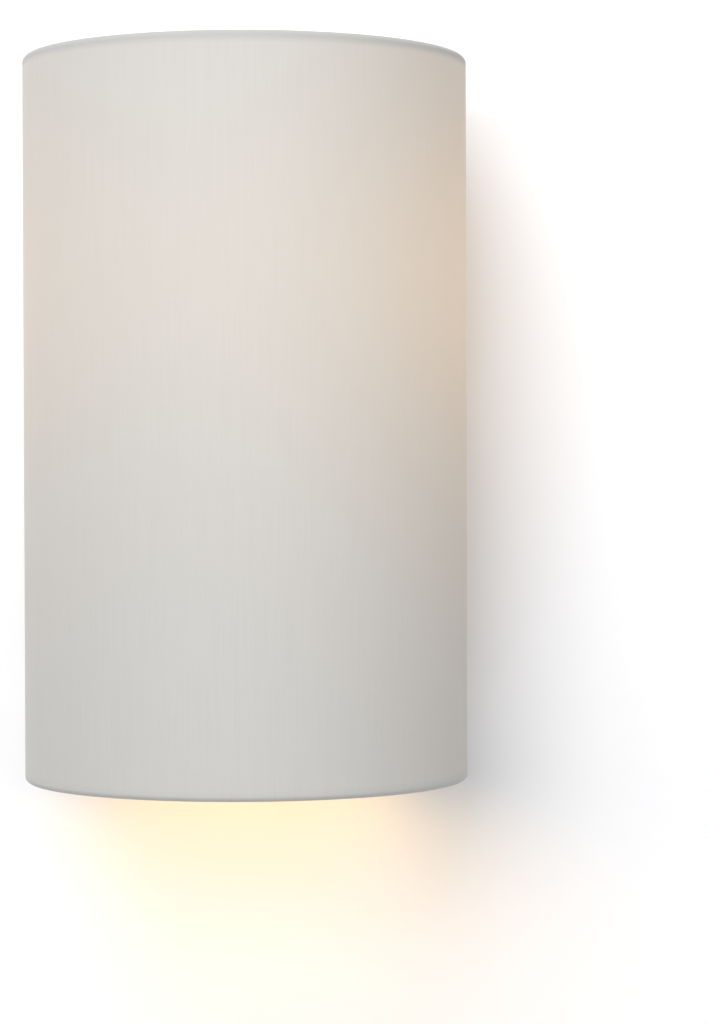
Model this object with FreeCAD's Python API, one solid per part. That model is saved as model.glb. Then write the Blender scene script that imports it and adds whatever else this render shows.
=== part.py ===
"""Wall light with a fabric drum shade, an E27 lampholder on a curved arm and a frosted bulb.

Frame, in millimetres: the wall is the plane y = 0 and the light stands in front of it at
negative y. +X is to the right as seen from the room and +Z is up. The origin is on the wall,
midway between the two wall fixing slots, at half the height of the shade.
"""
import FreeCAD
import Part
import math
import os

V = FreeCAD.Vector
X, Y, Z = V(1, 0, 0), V(0, 1, 0), V(0, 0, 1)
ORIGIN = V(0, 0, 0)

# ---- Driving dimensions: shade ----
shade_radius = 90.0
shade_height = 293.0
rear_opening = 88.0             # straight width between the two rear edges of the shade
rear_gap = 2.0                  # from the rear edges to the wall
cloth_thickness = 0.6
liner_thickness = 0.5
laminate_gap = 0.05             # between cloth, liner and wire inside the shade
wire_radius = 1.5
wire_bend = 6.0                 # centre-line radius at the ends of a ring's straight chord
hem_height = 3.8
hem_rounding = 1.0
tape_thickness = 0.5
tape_width = 8.0                # of the binding on the outside of the shade

# ---- Driving dimensions: hanging ----
bar_thickness = 1.5
bar_margin = 3.3                # metal left around a keyhole
stud_shank_radius = 2.0
stud_head_radius = 4.0
stud_head_thickness = 1.4
stud_spacing = 40.0
hang_fit = 0.1                  # between a stud's shank and its keyhole
head_fit = 0.6                  # between a stud's head and the hole it passes through
hang_play = 0.2                 # between the bar and a stud's shoulder or head
keyhole_drop = 9.0              # lift that frees the shade
bar_cover_gap = 4.0             # between the upper bar and the wall box cover

# ---- Driving dimensions: wall plate and wall box ----
plate_thickness = 1.5
plate_end = 8.0                 # plate beyond the stud centres
plate_rounding = 4.0
cover_side_gap = 9.0            # between the cover and each rear edge of the shade
cover_height = 160.0
cover_depth = 26.0
cover_sheet = 1.0
cover_rounding = 6.0
plate_fit = 0.2                 # between the plate and the cover
wall_gap = 0.3                  # between the cover's edge and the wall
fixing_spacing = 100.0
fixing_slot_width = 5.0
fixing_slot_length = 10.0
cable_hole_radius = 6.0
grommet_flange_radius = 8.5
grommet_flange_thickness = 2.9
grommet_wall = 1.5
lug_width = 14.0
lug_depth = 12.5                # from the plate's front to the lug's end
lug_screw_inset = 4.5           # from the lug's end to the screw's axis
cover_screw_radius = 2.0
cover_screw_length = 6.0
screw_head_radius = 3.5
screw_head_thickness = 2.0
thread_fit = 0.05

# ---- Driving dimensions: wiring ----
pole_pitch = 8.0
block_height = 16.0
block_depth = 14.0
block_centre_z = 30.0
insert_radius = 2.5
insert_bore = 1.3
insert_end_gap = 0.5
terminal_screw_radius = 1.5
terminal_screw_recess = 1.0
terminal_screw_offset = 4.0     # from the block's mid-height
block_screw_radius = 1.2
block_screw_head_radius = 2.2
block_screw_head_thickness = 1.8
wire_outer_radius = 0.9
wire_end_gap = 0.1
tube_wire_offset = 1.95         # from the arm's centre line to each lamp wire
earth_screw_x = 22.0
earth_screw_z = -28.0
earth_head_thickness = 2.2
lug_sheet = 0.8
lug_ring_radius = 4.0
barrel_wall = 0.65
barrel_length = 4.0

# ---- Driving dimensions: arm ----
arm_radius = 5.0
arm_wall = 1.0
arm_bend = 16.0
arm_inset = 12.0                # from the cover's lower end up to the arm
arm_tail = 7.0                  # tube behind the cover's front face
collar_radius = 9.0
collar_thickness = 3.0
collar_chamfer = 1.0
nut_flats = 14.0
nut_thickness = 3.5

# ---- Driving dimensions: lampholder ----
holder_radius = 19.5
holder_wall = 2.3
body_height = 26.0
body_lip = 2.5
body_mouth_radius = 15.0
cap_wall = 2.0
cap_skirt = 10.0                # straight part of the cap
cap_cone = 10.0                 # height of the cap's cone
boss_radius = 8.0
boss_height = 5.5
insulator_thickness = 8.0
insulator_gap = 0.4             # round the insulator's base
sleeve_wall = 1.8
shell_bore = 13.5
shell_sheet = 0.4
shell_top_inset = 5.0           # from the lampholder's mouth down to the shell's top
shell_flange_bore = 7.0
centre_rivet_x = -5.0
side_rivet_x = 8.6
rivet_radius = 1.0
rivet_head_radius = 1.4
rivet_head_thickness = 0.6
contact_rise = 1.4              # top of the centre contact above the insulator's base
contact_width = 4.0
contact_reach = 2.5             # contact tongue past the centre
holder_terminal = 5.0           # width of a terminal
holder_terminal_depth = 6.0
holder_terminal_height = 5.0
holder_screw_radius = 1.2
holder_screw_head_radius = 2.0
holder_screw_head_thickness = 1.5

# ---- Driving dimensions: bulb ----
bulb_fit = 0.3                  # between the bulb's cap and the screw shell, and tip and contact
bulb_cap_sheet = 0.3
bulb_cap_overhang = 2.0         # cap above the lampholder's mouth
bulb_cap_cone = 2.0
tip_height = 0.7
tip_radius = 4.8
cap_insulator_height = 1.6
cap_insulator_radius = 8.5
glass_radius = 30.0
glass_wall = 0.8
glass_neck_radius = 12.8
glass_neck_depth = 8.0          # neck inside the cap
glass_shoulder = 30.0           # radius of the hollow curve between neck and globe
globe_height = 51.0             # globe centre above the lampholder's mouth
glass_fit = 0.05
stem_radius = 3.0
stem_height = 34.0
stem_rod_radius = 1.2
stem_flare = 1.0
crown_thickness = 0.6
lower_crown_radius = 7.5
upper_crown_radius = 3.6
filament_radius = 0.9
filament_length = 34.0
filament_count = 4

# ---- Derived: shade ----
half_angle = math.degrees(math.asin(rear_opening / 2 / shade_radius))
axis_y = -(rear_gap + shade_radius * math.cos(math.radians(half_angle)))
arc_start = 90 + half_angle
arc_sweep = 360 - 2 * half_angle
cloth_inner = shade_radius - cloth_thickness
liner_outer = cloth_inner - laminate_gap
liner_inner = liner_outer - liner_thickness
wire_path = liner_inner - laminate_gap - wire_radius
hem_core_inner = wire_path - wire_radius - laminate_gap
hem_inner = hem_core_inner - cloth_thickness
shade_top = shade_height / 2
hem_foot = shade_top - hem_height
ring_z = shade_top - cloth_thickness - laminate_gap - wire_radius
strut_angle = half_angle + math.degrees(math.asin((wire_radius + laminate_gap) / wire_path))
strut_x = wire_path * math.sin(math.radians(strut_angle))
strut_y = axis_y + wire_path * math.cos(math.radians(strut_angle))

# ---- Derived: wall box ----
cover_width = rear_opening - 2 * cover_side_gap
plate_width = cover_width - 2 * (cover_sheet + plate_fit)
plate_front = -plate_thickness
cover_top = cover_height / 2
lug_outer_x = plate_width / 2
lug_inner_x = lug_outer_x - plate_thickness
lug_screw_y = plate_front - lug_depth + lug_screw_inset
cover_front = -cover_depth
cover_inside = cover_front + cover_sheet

# ---- Derived: hanging ----
keyhole_radius = stud_head_radius + head_fit
slot_radius = stud_shank_radius + hang_fit
stud_z = cover_top + bar_cover_gap + bar_margin + keyhole_radius + keyhole_drop
plate_height = 2 * (stud_z + plate_end)
bar_back = strut_y + bar_thickness / 2
bar_front = strut_y - bar_thickness / 2

# ---- Derived: wiring ----
wire_level = plate_front - block_depth / 2
block_front = plate_front - block_depth
block_top = block_centre_z + block_height / 2
block_bottom = block_centre_z - block_height / 2
grommet_bore = cable_hole_radius - grommet_wall
pole_xs = [-pole_pitch, 0.0, pole_pitch]
earth_barrel_radius = wire_outer_radius + barrel_wall
earth_wire_y = plate_front - earth_barrel_radius

# ---- Derived: arm and lampholder ----
arm_z = -(cover_top - arm_inset)
cap_bottom = arm_z + arm_bend + 0.5
cap_cone_foot = cap_bottom + boss_height
cap_top = cap_cone_foot + cap_cone + cap_skirt
mouth_z = cap_top + body_height
tube_end = cap_cone_foot
holder_inner = holder_radius - holder_wall
sleeve_inner = shell_bore + shell_sheet + thread_fit
sleeve_outer = sleeve_inner + sleeve_wall
insulator_base = cap_top
insulator_foot = insulator_base - insulator_thickness
sleeve_top = mouth_z - body_lip - insulator_gap
shell_top = mouth_z - shell_top_inset
contact_top = insulator_base + contact_rise

# ---- Derived: bulb ----
bulb_cap_radius = shell_bore - bulb_fit
tip_z = contact_top + bulb_fit
cap_insulator_z = tip_z + tip_height
bulb_cap_foot = cap_insulator_z + cap_insulator_height
globe_z = mouth_z + globe_height
neck_foot = mouth_z + bulb_cap_overhang - glass_neck_depth
stem_top = neck_foot + stem_height
lower_crown_z = stem_top
upper_crown_z = lower_crown_z + crown_thickness + filament_length


# ---- Helpers ----
def polar(radius, angle, z=0.0):
    """Point at a radius and an angle in degrees from +X about the shade's axis."""
    a = math.radians(angle)
    return V(radius * math.cos(a), axis_y + radius * math.sin(a), z)


def box(x0, x1, y0, y1, z0, z1):
    """Block between two corners."""
    return Part.makeBox(x1 - x0, y1 - y0, z1 - z0, V(x0, y0, z0))


def rod(radius, start, end):
    """Solid cylinder from one point to another."""
    along = end.sub(start)
    return Part.makeCylinder(radius, along.Length, start, along)


def tube(outer, inner, start, end):
    """Hollow cylinder from one point to another."""
    return rod(outer, start, end).cut(rod(inner, start, end))


def polygon(points):
    """Flat face through the given corners."""
    return Part.Face(Part.makePolygon(points + [points[0]]))


def annular_sector(outer, inner, start, sweep, z0, z1):
    """Curved wall about the shade's axis, between two radii and two heights."""
    profile = polygon([V(inner, axis_y, z0), V(outer, axis_y, z0),
                       V(outer, axis_y, z1), V(inner, axis_y, z1)])
    profile.rotate(V(0, axis_y, 0), Z, start)
    return profile.revolve(V(0, axis_y, 0), Z, sweep)


def turned(points):
    """Solid of revolution about the shade's axis from (radius, z) corners."""
    return polygon([V(r, axis_y, z) for r, z in points]).revolve(V(0, axis_y, 0), Z, 360)


def turned_face(edges):
    """Solid of revolution about the shade's axis from the edges of a closed profile."""
    return Part.Face(Part.Wire(edges)).revolve(V(0, axis_y, 0), Z, 360)


def on_axis(z):
    """Point on the shade's axis."""
    return V(0, axis_y, z)


def line(a, b):
    return Part.LineSegment(a, b).toShape()


def arc(a, middle, b):
    return Part.Arc(a, middle, b).toShape()


def rounded_slab(width, height, rounding, y0, y1):
    """Upright slab centred on the origin, with rounded corners, between two y values."""
    slab = box(-width / 2, width / 2, y0, y1, -height / 2, height / 2)
    corners = [e for e in slab.Edges if abs(e.tangentAt(e.FirstParameter).dot(Y)) > 0.99]
    return slab.makeFillet(rounding, corners)


def slot(x, z, width, length, y0, y1):
    """Upright slotted hole's volume, with round ends, running along Y."""
    reach = (length - width) / 2
    hole = box(x - width / 2, x + width / 2, y0, y1, z - reach, z + reach)
    for end in (z - reach, z + reach):
        hole = hole.fuse(rod(width / 2, V(x, y0, end), V(x, y1, end)))
    return hole


def bent_path(corners):
    """Wire through corner points; each inner corner (point, radius) becomes a tangent arc."""
    points = [c[0] for c in corners]
    edges = []
    last = points[0]
    for i in range(1, len(points) - 1):
        back = points[i - 1].sub(points[i]).normalize()
        ahead = points[i + 1].sub(points[i]).normalize()
        turn = math.pi - back.getAngle(ahead)
        radius = corners[i][1]
        trim = radius * math.tan(turn / 2)
        enter = points[i].add(V(back).multiply(trim))
        leave = points[i].add(V(ahead).multiply(trim))
        inward = back.add(ahead).normalize()
        to_centre = radius / math.cos(turn / 2)
        middle = points[i].add(inward.multiply(to_centre - radius))
        edges.append(line(last, enter))
        edges.append(arc(enter, middle, leave))
        last = leave
    edges.append(line(last, points[-1]))
    return Part.Wire(edges)


def round_bar(path, radius):
    """Round bar along a wire."""
    start = path.Edges[0]
    point = start.valueAt(start.FirstParameter)
    direction = start.tangentAt(start.FirstParameter)
    section = Part.Wire(Part.Circle(point, direction, radius).toShape())
    return path.makePipeShell([section], True, True)


def mirrored_z(shape):
    return shape.mirror(ORIGIN, Z)


def mirrored_x(shape):
    return shape.mirror(ORIGIN, X)


def screw_slot(head_radius, depth, centre, across, along):
    """Straight driver slot in a screw head: across is its long direction, along its depth."""
    half_width = head_radius / 6
    third = across.cross(along)
    corner = V(centre)
    corner = corner.sub(V(across).multiply(head_radius + 1))
    corner = corner.sub(V(third).multiply(half_width))
    corners = [corner, corner.add(V(across).multiply(2 * head_radius + 2))]
    corners.append(corners[1].add(V(third).multiply(2 * half_width)))
    corners.append(corner.add(V(third).multiply(2 * half_width)))
    return polygon(corners).extrude(V(along).multiply(depth))


# ---- Shade ----
def shade_fabric():
    """Outer cloth between the two hems."""
    return annular_sector(shade_radius, cloth_inner, arc_start, arc_sweep, -hem_foot, hem_foot)


def shade_liner():
    """Stiff backing inside the cloth; its upper and lower edges stand in the hems."""
    reach = ring_z
    return annular_sector(liner_outer, liner_inner, arc_start, arc_sweep, -reach, reach)


def end_ring(z):
    """Wire ring: an arc round the shade, rounded corners and a straight rear chord."""
    chord = strut_y - axis_y
    bend_y = chord - wire_bend
    bend_x = math.sqrt((wire_path - wire_bend) ** 2 - bend_y ** 2)
    bend_angle = math.degrees(math.atan2(bend_y, bend_x))
    middle_angle = math.radians((90 + bend_angle) / 2)
    centre = V(bend_x, axis_y + bend_y, z)
    middle = centre.add(V(math.cos(middle_angle), math.sin(middle_angle), 0).multiply(wire_bend))
    chord_right = V(bend_x, strut_y, z)
    chord_left = V(-bend_x, strut_y, z)
    right = polar(wire_path, bend_angle, z)
    left = polar(wire_path, 180 - bend_angle, z)
    path = Part.Wire([
        line(chord_left, chord_right),
        arc(chord_right, middle, right),
        arc(right, polar(wire_path, -90, z), left),
        arc(left, V(-middle.x, middle.y, z), chord_left),
    ])
    return round_bar(path, wire_radius)


def hem(ring):
    """Cloth rolled over the upper ring: a hollow channel, open below, cut by the ring's chord."""
    foot, top = hem_foot, shade_top
    r0, r1, c = hem_inner, shade_radius, hem_rounding
    inside = top - cloth_thickness

    def at(r, z):
        return V(r, axis_y, z)

    bulge = c * (1 - math.sqrt(0.5))
    edges = [
        line(at(r1, foot), at(r1, top - c)),
        arc(at(r1, top - c), at(r1 - bulge, top - bulge), at(r1 - c, top)),
        line(at(r1 - c, top), at(r0 + c, top)),
        arc(at(r0 + c, top), at(r0 + bulge, top - bulge), at(r0, top - c)),
        line(at(r0, top - c), at(r0, foot)),
        line(at(r0, foot), at(hem_core_inner, foot)),
        line(at(hem_core_inner, foot), at(hem_core_inner, inside)),
        line(at(hem_core_inner, inside), at(cloth_inner, inside)),
        line(at(cloth_inner, inside), at(cloth_inner, foot)),
        line(at(cloth_inner, foot), at(r1, foot)),
    ]
    profile = Part.Face(Part.Wire(edges))
    profile.rotate(V(0, axis_y, 0), Z, arc_start)
    return profile.revolve(V(0, axis_y, 0), Z, arc_sweep).cut(ring)


def right_strut(rings):
    """Vertical wire at the right rear edge, butted to both rings."""
    bar = rod(wire_radius, V(strut_x, strut_y, -ring_z), V(strut_x, strut_y, ring_z))
    for ring in rings:
        bar = bar.cut(ring)
    return max(bar.Solids, key=lambda s: s.Volume)


def edge_binding(bars):
    """Tape folded round the left rear edge of cloth, liner and strut, notched for the bars."""
    outer = shade_radius + laminate_gap
    inner = hem_core_inner
    tape_sweep = math.degrees(tape_width / shade_radius)
    end_sweep = math.degrees(tape_thickness / shade_radius)
    z0, z1 = -hem_foot, hem_foot
    begin = arc_start - end_sweep
    sweep = tape_sweep + end_sweep
    tape = annular_sector(outer + tape_thickness, outer, begin, sweep, z0, z1)
    tape = tape.fuse(annular_sector(inner, inner - tape_thickness, begin, sweep, z0, z1))
    tape = tape.fuse(annular_sector(outer, inner, begin, end_sweep, z0, z1))
    for bar in bars:
        tape = tape.cut(bar)
    return tape.removeSplitter()


def hanger_bar(centre_z, struts):
    """Flat bar between the struts with two keyholes; each slot's top end sits on a stud."""
    top = centre_z + slot_radius + bar_margin
    bottom = centre_z - keyhole_drop - keyhole_radius - bar_margin
    bar = box(-strut_x, strut_x, bar_front, bar_back, bottom, top)
    for x in (-stud_spacing / 2, stud_spacing / 2):
        low = centre_z - keyhole_drop
        bar = bar.cut(box(x - slot_radius, x + slot_radius, bar_front - 1, bar_back + 1, low, centre_z))
        bar = bar.cut(rod(slot_radius, V(x, bar_front - 1, centre_z), V(x, bar_back + 1, centre_z)))
        bar = bar.cut(rod(keyhole_radius, V(x, bar_front - 1, low), V(x, bar_back + 1, low)))
    for strut in struts:
        bar = bar.cut(strut)
    return max(bar.Solids, key=lambda s: s.Volume)


# ---- Wall plate and wall box ----
def wall_plate():
    """Steel plate with fixing slots, cable hole and two lugs bent forward for the cover."""
    plate = rounded_slab(plate_width, plate_height, plate_rounding, plate_front, 0)
    for z in (-fixing_spacing / 2, fixing_spacing / 2):
        plate = plate.cut(slot(0, z, fixing_slot_width, fixing_slot_length, plate_front - 1, 1))
    plate = plate.cut(rod(cable_hole_radius, V(0, plate_front - 1, 0), V(0, 1, 0)))
    for side in (-1, 1):
        x0, x1 = sorted((side * lug_inner_x, side * lug_outer_x))
        plate = plate.fuse(box(x0, x1, plate_front - lug_depth, 0, -lug_width / 2, lug_width / 2))
    hole_reach = lug_outer_x + 1
    for side in (-1, 1):
        start = V(side * (lug_inner_x - 1), lug_screw_y, 0)
        plate = plate.cut(rod(cover_screw_radius, start, V(side * hole_reach, lug_screw_y, 0)))
    earth = V(earth_screw_x, plate_front - 1, earth_screw_z)
    plate = plate.cut(rod(cover_screw_radius, earth, V(earth_screw_x, 1, earth_screw_z)))
    return plate.removeSplitter()


def hanging_studs():
    """Four shouldered studs; shanks pass through the keyholes, heads keep the shade on."""
    studs = []
    for z in (-stud_z, stud_z):
        for x in (-stud_spacing / 2, stud_spacing / 2):
            shoulder = bar_back + hang_play
            head = bar_front - hang_play
            stud = rod(stud_head_radius, V(x, plate_front, z), V(x, shoulder, z))
            stud = stud.fuse(rod(stud_shank_radius, V(x, plate_front, z), V(x, head, z)))
            stud = stud.fuse(rod(stud_head_radius, V(x, head, z), V(x, head - stud_head_thickness, z)))
            studs.append(stud.removeSplitter())
    return Part.makeCompound(studs)


def cable_grommet():
    """Rubber bush in the cable hole, with a flange in front of the plate."""
    front = plate_front - grommet_flange_thickness
    bush = rod(cable_hole_radius, V(0, 0, 0), V(0, plate_front, 0))
    bush = bush.fuse(rod(grommet_flange_radius, V(0, plate_front, 0), V(0, front, 0)))
    return bush.cut(rod(grommet_bore, V(0, 1, 0), V(0, front - 1, 0))).removeSplitter()


def wall_box_cover():
    """Pressed box over the wiring, notched at both ends for the plate."""
    outside = rounded_slab(cover_width, cover_height, cover_rounding, cover_front, -wall_gap)
    inner_width = cover_width - 2 * cover_sheet
    inner_height = cover_height - 2 * cover_sheet
    inside = rounded_slab(inner_width, inner_height, cover_rounding - cover_sheet, cover_inside, 1)
    cover = outside.cut(inside)
    half = inner_width / 2
    end = cover_top + 1
    cover = cover.cut(box(-half, half, plate_front - wall_gap, 1, -end, end))
    cover = cover.cut(rod(arm_radius + thread_fit, V(0, cover_front - 1, arm_z), V(0, cover_inside + 1, arm_z)))
    reach = cover_width / 2 + 1
    hole = cover_screw_radius + hang_fit
    return cover.cut(rod(hole, V(-reach, lug_screw_y, 0), V(reach, lug_screw_y, 0)))


def cover_screws():
    """Two screws from the sides into the plate's lugs."""
    screws = []
    for side in (-1, 1):
        seat = side * cover_width / 2
        head_end = seat + side * screw_head_thickness
        tip = seat - side * cover_screw_length
        shank = rod(cover_screw_radius - thread_fit, V(seat, lug_screw_y, 0), V(tip, lug_screw_y, 0))
        head = rod(screw_head_radius, V(seat, lug_screw_y, 0), V(head_end, lug_screw_y, 0))
        screw = head.fuse(shank)
        groove = screw_slot(screw_head_radius, screw_head_thickness / 2, V(head_end, lug_screw_y, 0),
                            Z, V(-side, 0, 0))
        screws.append(screw.cut(groove))
    return Part.makeCompound(screws)


# ---- Wiring ----
def terminal_screw_places():
    """(x, z) of every wire clamp screw in the terminal block."""
    rows = (block_centre_z - terminal_screw_offset, block_centre_z + terminal_screw_offset)
    return [(x, z) for x in pole_xs for z in rows]


def block_screw_xs():
    """x of the two screws that hold the terminal block, between the poles."""
    return (-pole_pitch / 2, pole_pitch / 2)


def terminal_block():
    """Three-pole block on the plate, bored for the inserts and their screws."""
    half = 1.5 * pole_pitch
    block = box(-half, half, block_front, plate_front, block_bottom, block_top)
    for x in pole_xs:
        start = V(x, wire_level, block_bottom - 1)
        block = block.cut(rod(insert_radius, start, V(x, wire_level, block_top + 1)))
    for x, z in terminal_screw_places():
        block = block.cut(rod(terminal_screw_radius + hang_fit, V(x, block_front - 1, z), V(x, wire_level, z)))
    for x in block_screw_xs():
        seat = block_front + block_screw_head_thickness
        head = rod(block_screw_head_radius + hang_fit, V(x, block_front - 1, block_centre_z),
                   V(x, seat, block_centre_z))
        shank = rod(block_screw_radius, V(x, block_front, block_centre_z),
                    V(x, plate_front + 1, block_centre_z))
        block = block.cut(head).cut(shank)
    return block


def terminal_inserts():
    """Brass tubes that clamp the wires, one for each pole."""
    inserts = []
    low, high = block_bottom + insert_end_gap, block_top - insert_end_gap
    for x in pole_xs:
        insert = tube(insert_radius - thread_fit, insert_bore, V(x, wire_level, low), V(x, wire_level, high))
        for sx, sz in terminal_screw_places():
            if sx == x:
                bore = rod(terminal_screw_radius + thread_fit, V(x, block_front, sz), V(x, wire_level, sz))
                insert = insert.cut(bore)
        inserts.append(insert)
    return Part.makeCompound(inserts)


def terminal_screws():
    """Clamp screws of the terminal block, sunk below its front."""
    screws = []
    for x, z in terminal_screw_places():
        head = block_front + terminal_screw_recess
        tip = wire_level - wire_outer_radius - wire_end_gap
        screw = rod(terminal_screw_radius, V(x, head, z), V(x, tip, z))
        groove = screw_slot(terminal_screw_radius, terminal_screw_recess, V(x, head, z), X, Y)
        screws.append(screw.cut(groove))
    return Part.makeCompound(screws)


def terminal_block_screws():
    """Two screws that hold the terminal block on the plate."""
    screws = []
    for x in block_screw_xs():
        seat = block_front + block_screw_head_thickness
        head = rod(block_screw_head_radius, V(x, block_front, block_centre_z), V(x, seat, block_centre_z))
        shank = rod(block_screw_radius - thread_fit, V(x, seat, block_centre_z),
                    V(x, plate_front, block_centre_z))
        groove = screw_slot(block_screw_head_radius, block_screw_head_thickness / 2,
                            V(x, block_front, block_centre_z), X, Y)
        screws.append(head.fuse(shank).cut(groove))
    return Part.makeCompound(screws)


def earth_screw():
    """Screw that clamps the earth lug to the plate."""
    seat = plate_front - lug_sheet
    front = seat - earth_head_thickness
    place = V(earth_screw_x, seat, earth_screw_z)
    head = rod(screw_head_radius, place, V(earth_screw_x, front, earth_screw_z))
    shank = rod(cover_screw_radius - thread_fit, place, V(earth_screw_x, -wall_gap, earth_screw_z))
    groove = screw_slot(screw_head_radius, earth_head_thickness / 2,
                        V(earth_screw_x, front, earth_screw_z), X, Y)
    return head.fuse(shank).cut(groove)


def barrel_foot():
    """Height at which the earth lug's barrel begins."""
    return earth_screw_z + 2 * lug_ring_radius


def earth_lug():
    """Ring terminal with a tongue and a barrel for the earth wire."""
    x, z = earth_screw_x, earth_screw_z
    seat = plate_front - lug_sheet
    lug = rod(lug_ring_radius, V(x, plate_front, z), V(x, seat, z))
    tongue = box(x - earth_barrel_radius, x + earth_barrel_radius, seat, plate_front, z, barrel_foot() + 1)
    lug = lug.fuse(tongue)
    lug = lug.cut(rod(cover_screw_radius + hang_fit, V(x, 0, z), V(x, seat - 1, z)))
    start = V(x, earth_wire_y, barrel_foot())
    end = V(x, earth_wire_y, barrel_foot() + barrel_length)
    lug = lug.fuse(rod(earth_barrel_radius, start, end))
    return lug.cut(rod(wire_outer_radius + thread_fit, V(x, earth_wire_y, z), end)).removeSplitter()


def lamp_wire(pole_x, offset, terminal_x):
    """Insulated wire from the terminal block through the arm to the lampholder."""
    start = block_centre_z - terminal_screw_offset / 2
    into_arm = arm_z
    rise = cap_cone_foot + 1.0
    spread = rise + 4.0
    corners = [
        (V(pole_x, wire_level, start), 0),
        (V(pole_x, wire_level, block_bottom - 12), 12.0),
        (V(offset, wire_level, block_bottom - 44), 12.0),
        (V(offset, wire_level, into_arm), 9.0),
        (V(offset, axis_y, into_arm), arm_bend),
        (V(offset, axis_y, rise), 4.0),
        (V(terminal_x, axis_y, spread), 2.5),
        (V(terminal_x, axis_y, insulator_foot - 2.0), 0),
    ]
    return round_bar(bent_path(corners), wire_outer_radius)


def live_wire():
    return lamp_wire(pole_xs[0], -tube_wire_offset, centre_rivet_x)


def neutral_wire():
    return lamp_wire(pole_xs[1], tube_wire_offset, side_rivet_x)


def earth_wire():
    """Insulated wire from the terminal block to the earth lug."""
    end = barrel_foot() + wire_end_gap
    corners = [
        (V(pole_xs[2], wire_level, block_centre_z - terminal_screw_offset / 2), 0),
        (V(pole_xs[2], wire_level, block_bottom - 9), 9.0),
        (V(earth_screw_x, earth_wire_y, end + 14), 9.0),
        (V(earth_screw_x, earth_wire_y, end), 0),
    ]
    return round_bar(bent_path(corners), wire_outer_radius)


# ---- Arm ----
def arm_path():
    rear = V(0, cover_front + arm_tail, arm_z)
    return bent_path([(rear, 0), (on_axis(arm_z), arm_bend), (on_axis(tube_end), 0)])


def arm_tube():
    """Bent steel tube from the wall box to the lampholder."""
    path = arm_path()
    return round_bar(path, arm_radius).cut(round_bar(path, arm_radius - arm_wall))


def arm_collar():
    """Chamfered collar on the arm against the cover's front."""
    front = cover_front - collar_thickness
    collar = rod(collar_radius, V(0, cover_front, arm_z), V(0, front, arm_z))
    rim = [e for e in collar.Edges if e.BoundBox.YMax < front + 0.01]
    collar = collar.makeChamfer(collar_chamfer, rim)
    bore = rod(arm_radius + thread_fit, V(0, cover_front + 1, arm_z), V(0, front - 1, arm_z))
    return collar.cut(bore)


def arm_lock_nut():
    """Hexagon nut on the arm behind the cover's front."""
    across_corners = nut_flats / math.sqrt(3)
    corners = []
    for k in range(6):
        a = math.radians(60 * k)
        corners.append(V(across_corners * math.cos(a), cover_inside, arm_z + across_corners * math.sin(a)))
    nut = polygon(corners).extrude(V(0, nut_thickness, 0))
    end = cover_inside + nut_thickness + 1
    return nut.cut(rod(arm_radius + thread_fit, V(0, cover_inside - 1, arm_z), V(0, end, arm_z)))


# ---- Lampholder ----
def lampholder_cap():
    """Domed cap screwed on the arm, with a ledge that carries the insulator."""
    ledge = insulator_foot
    bore = arm_radius + thread_fit
    seat = holder_inner - cap_wall
    cone_top = cap_cone_foot + cap_cone
    profile = [
        (bore, cap_bottom), (boss_radius, cap_bottom), (boss_radius, cap_cone_foot),
        (holder_radius, cone_top), (holder_radius, cap_top), (holder_inner, cap_top),
        (holder_inner, ledge), (seat, ledge), (seat, ledge - 2),
        (boss_radius + 1, cap_cone_foot + cap_wall + 1), (bore, cap_cone_foot + 1),
    ]
    return turned(profile)


def lampholder_body():
    """Plain skirt of the lampholder with a lip round its mouth."""
    lip = mouth_z - body_lip
    return turned([(holder_inner, cap_top), (holder_radius, cap_top), (holder_radius, mouth_z),
                   (body_mouth_radius, mouth_z), (body_mouth_radius, lip), (holder_inner, lip)])


def lampholder_insulator():
    """Ceramic base and sleeve that carry the contacts and the screw shell."""
    edge = holder_inner - insulator_gap
    part = turned([(0, insulator_foot), (edge, insulator_foot), (edge, insulator_base),
                   (sleeve_outer, insulator_base), (sleeve_outer, sleeve_top),
                   (sleeve_inner, sleeve_top), (sleeve_inner, insulator_base), (0, insulator_base)])
    for x in (centre_rivet_x, side_rivet_x):
        start = V(x, axis_y, insulator_foot - 1)
        part = part.cut(rod(rivet_radius + thread_fit, start, V(x, axis_y, insulator_base + 1)))
    return part


def lamp_screw_shell():
    """Brass shell that takes the bulb's cap, with a flange that is riveted down."""
    outer = shell_bore + shell_sheet
    flange = insulator_base + shell_sheet
    shell = turned([(shell_flange_bore, insulator_base), (outer, insulator_base), (outer, shell_top),
                    (shell_bore, shell_top), (shell_bore, flange), (shell_flange_bore, flange)])
    hole_start = V(side_rivet_x, axis_y, insulator_base - 1)
    return shell.cut(rod(rivet_radius + thread_fit, hole_start, V(side_rivet_x, axis_y, flange + 1)))


def centre_contact():
    """Springy brass strip: riveted foot, riser and tongue under the bulb's tip."""
    half = contact_width / 2
    riser = centre_rivet_x + half
    foot = box(centre_rivet_x - rivet_head_radius, riser, axis_y - half, axis_y + half,
               insulator_base, insulator_base + shell_sheet)
    post = box(riser - shell_sheet, riser, axis_y - half, axis_y + half, insulator_base, contact_top)
    tongue = box(riser - shell_sheet, contact_reach, axis_y - half, axis_y + half,
                 contact_top - shell_sheet, contact_top)
    strip = foot.fuse(post).fuse(tongue)
    start = V(centre_rivet_x, axis_y, insulator_base - 1)
    end = V(centre_rivet_x, axis_y, contact_top)
    return strip.cut(rod(rivet_radius + thread_fit, start, end)).removeSplitter()


def contact_rivets():
    """Rivets that hold the shell and the centre contact and carry current to the terminals."""
    rivets = []
    for x in (centre_rivet_x, side_rivet_x):
        seat = insulator_base + shell_sheet
        shank = rod(rivet_radius, V(x, axis_y, insulator_foot), V(x, axis_y, seat))
        head = rod(rivet_head_radius, V(x, axis_y, seat), V(x, axis_y, seat + rivet_head_thickness))
        rivets.append(shank.fuse(head))
    return Part.makeCompound(rivets)


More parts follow.
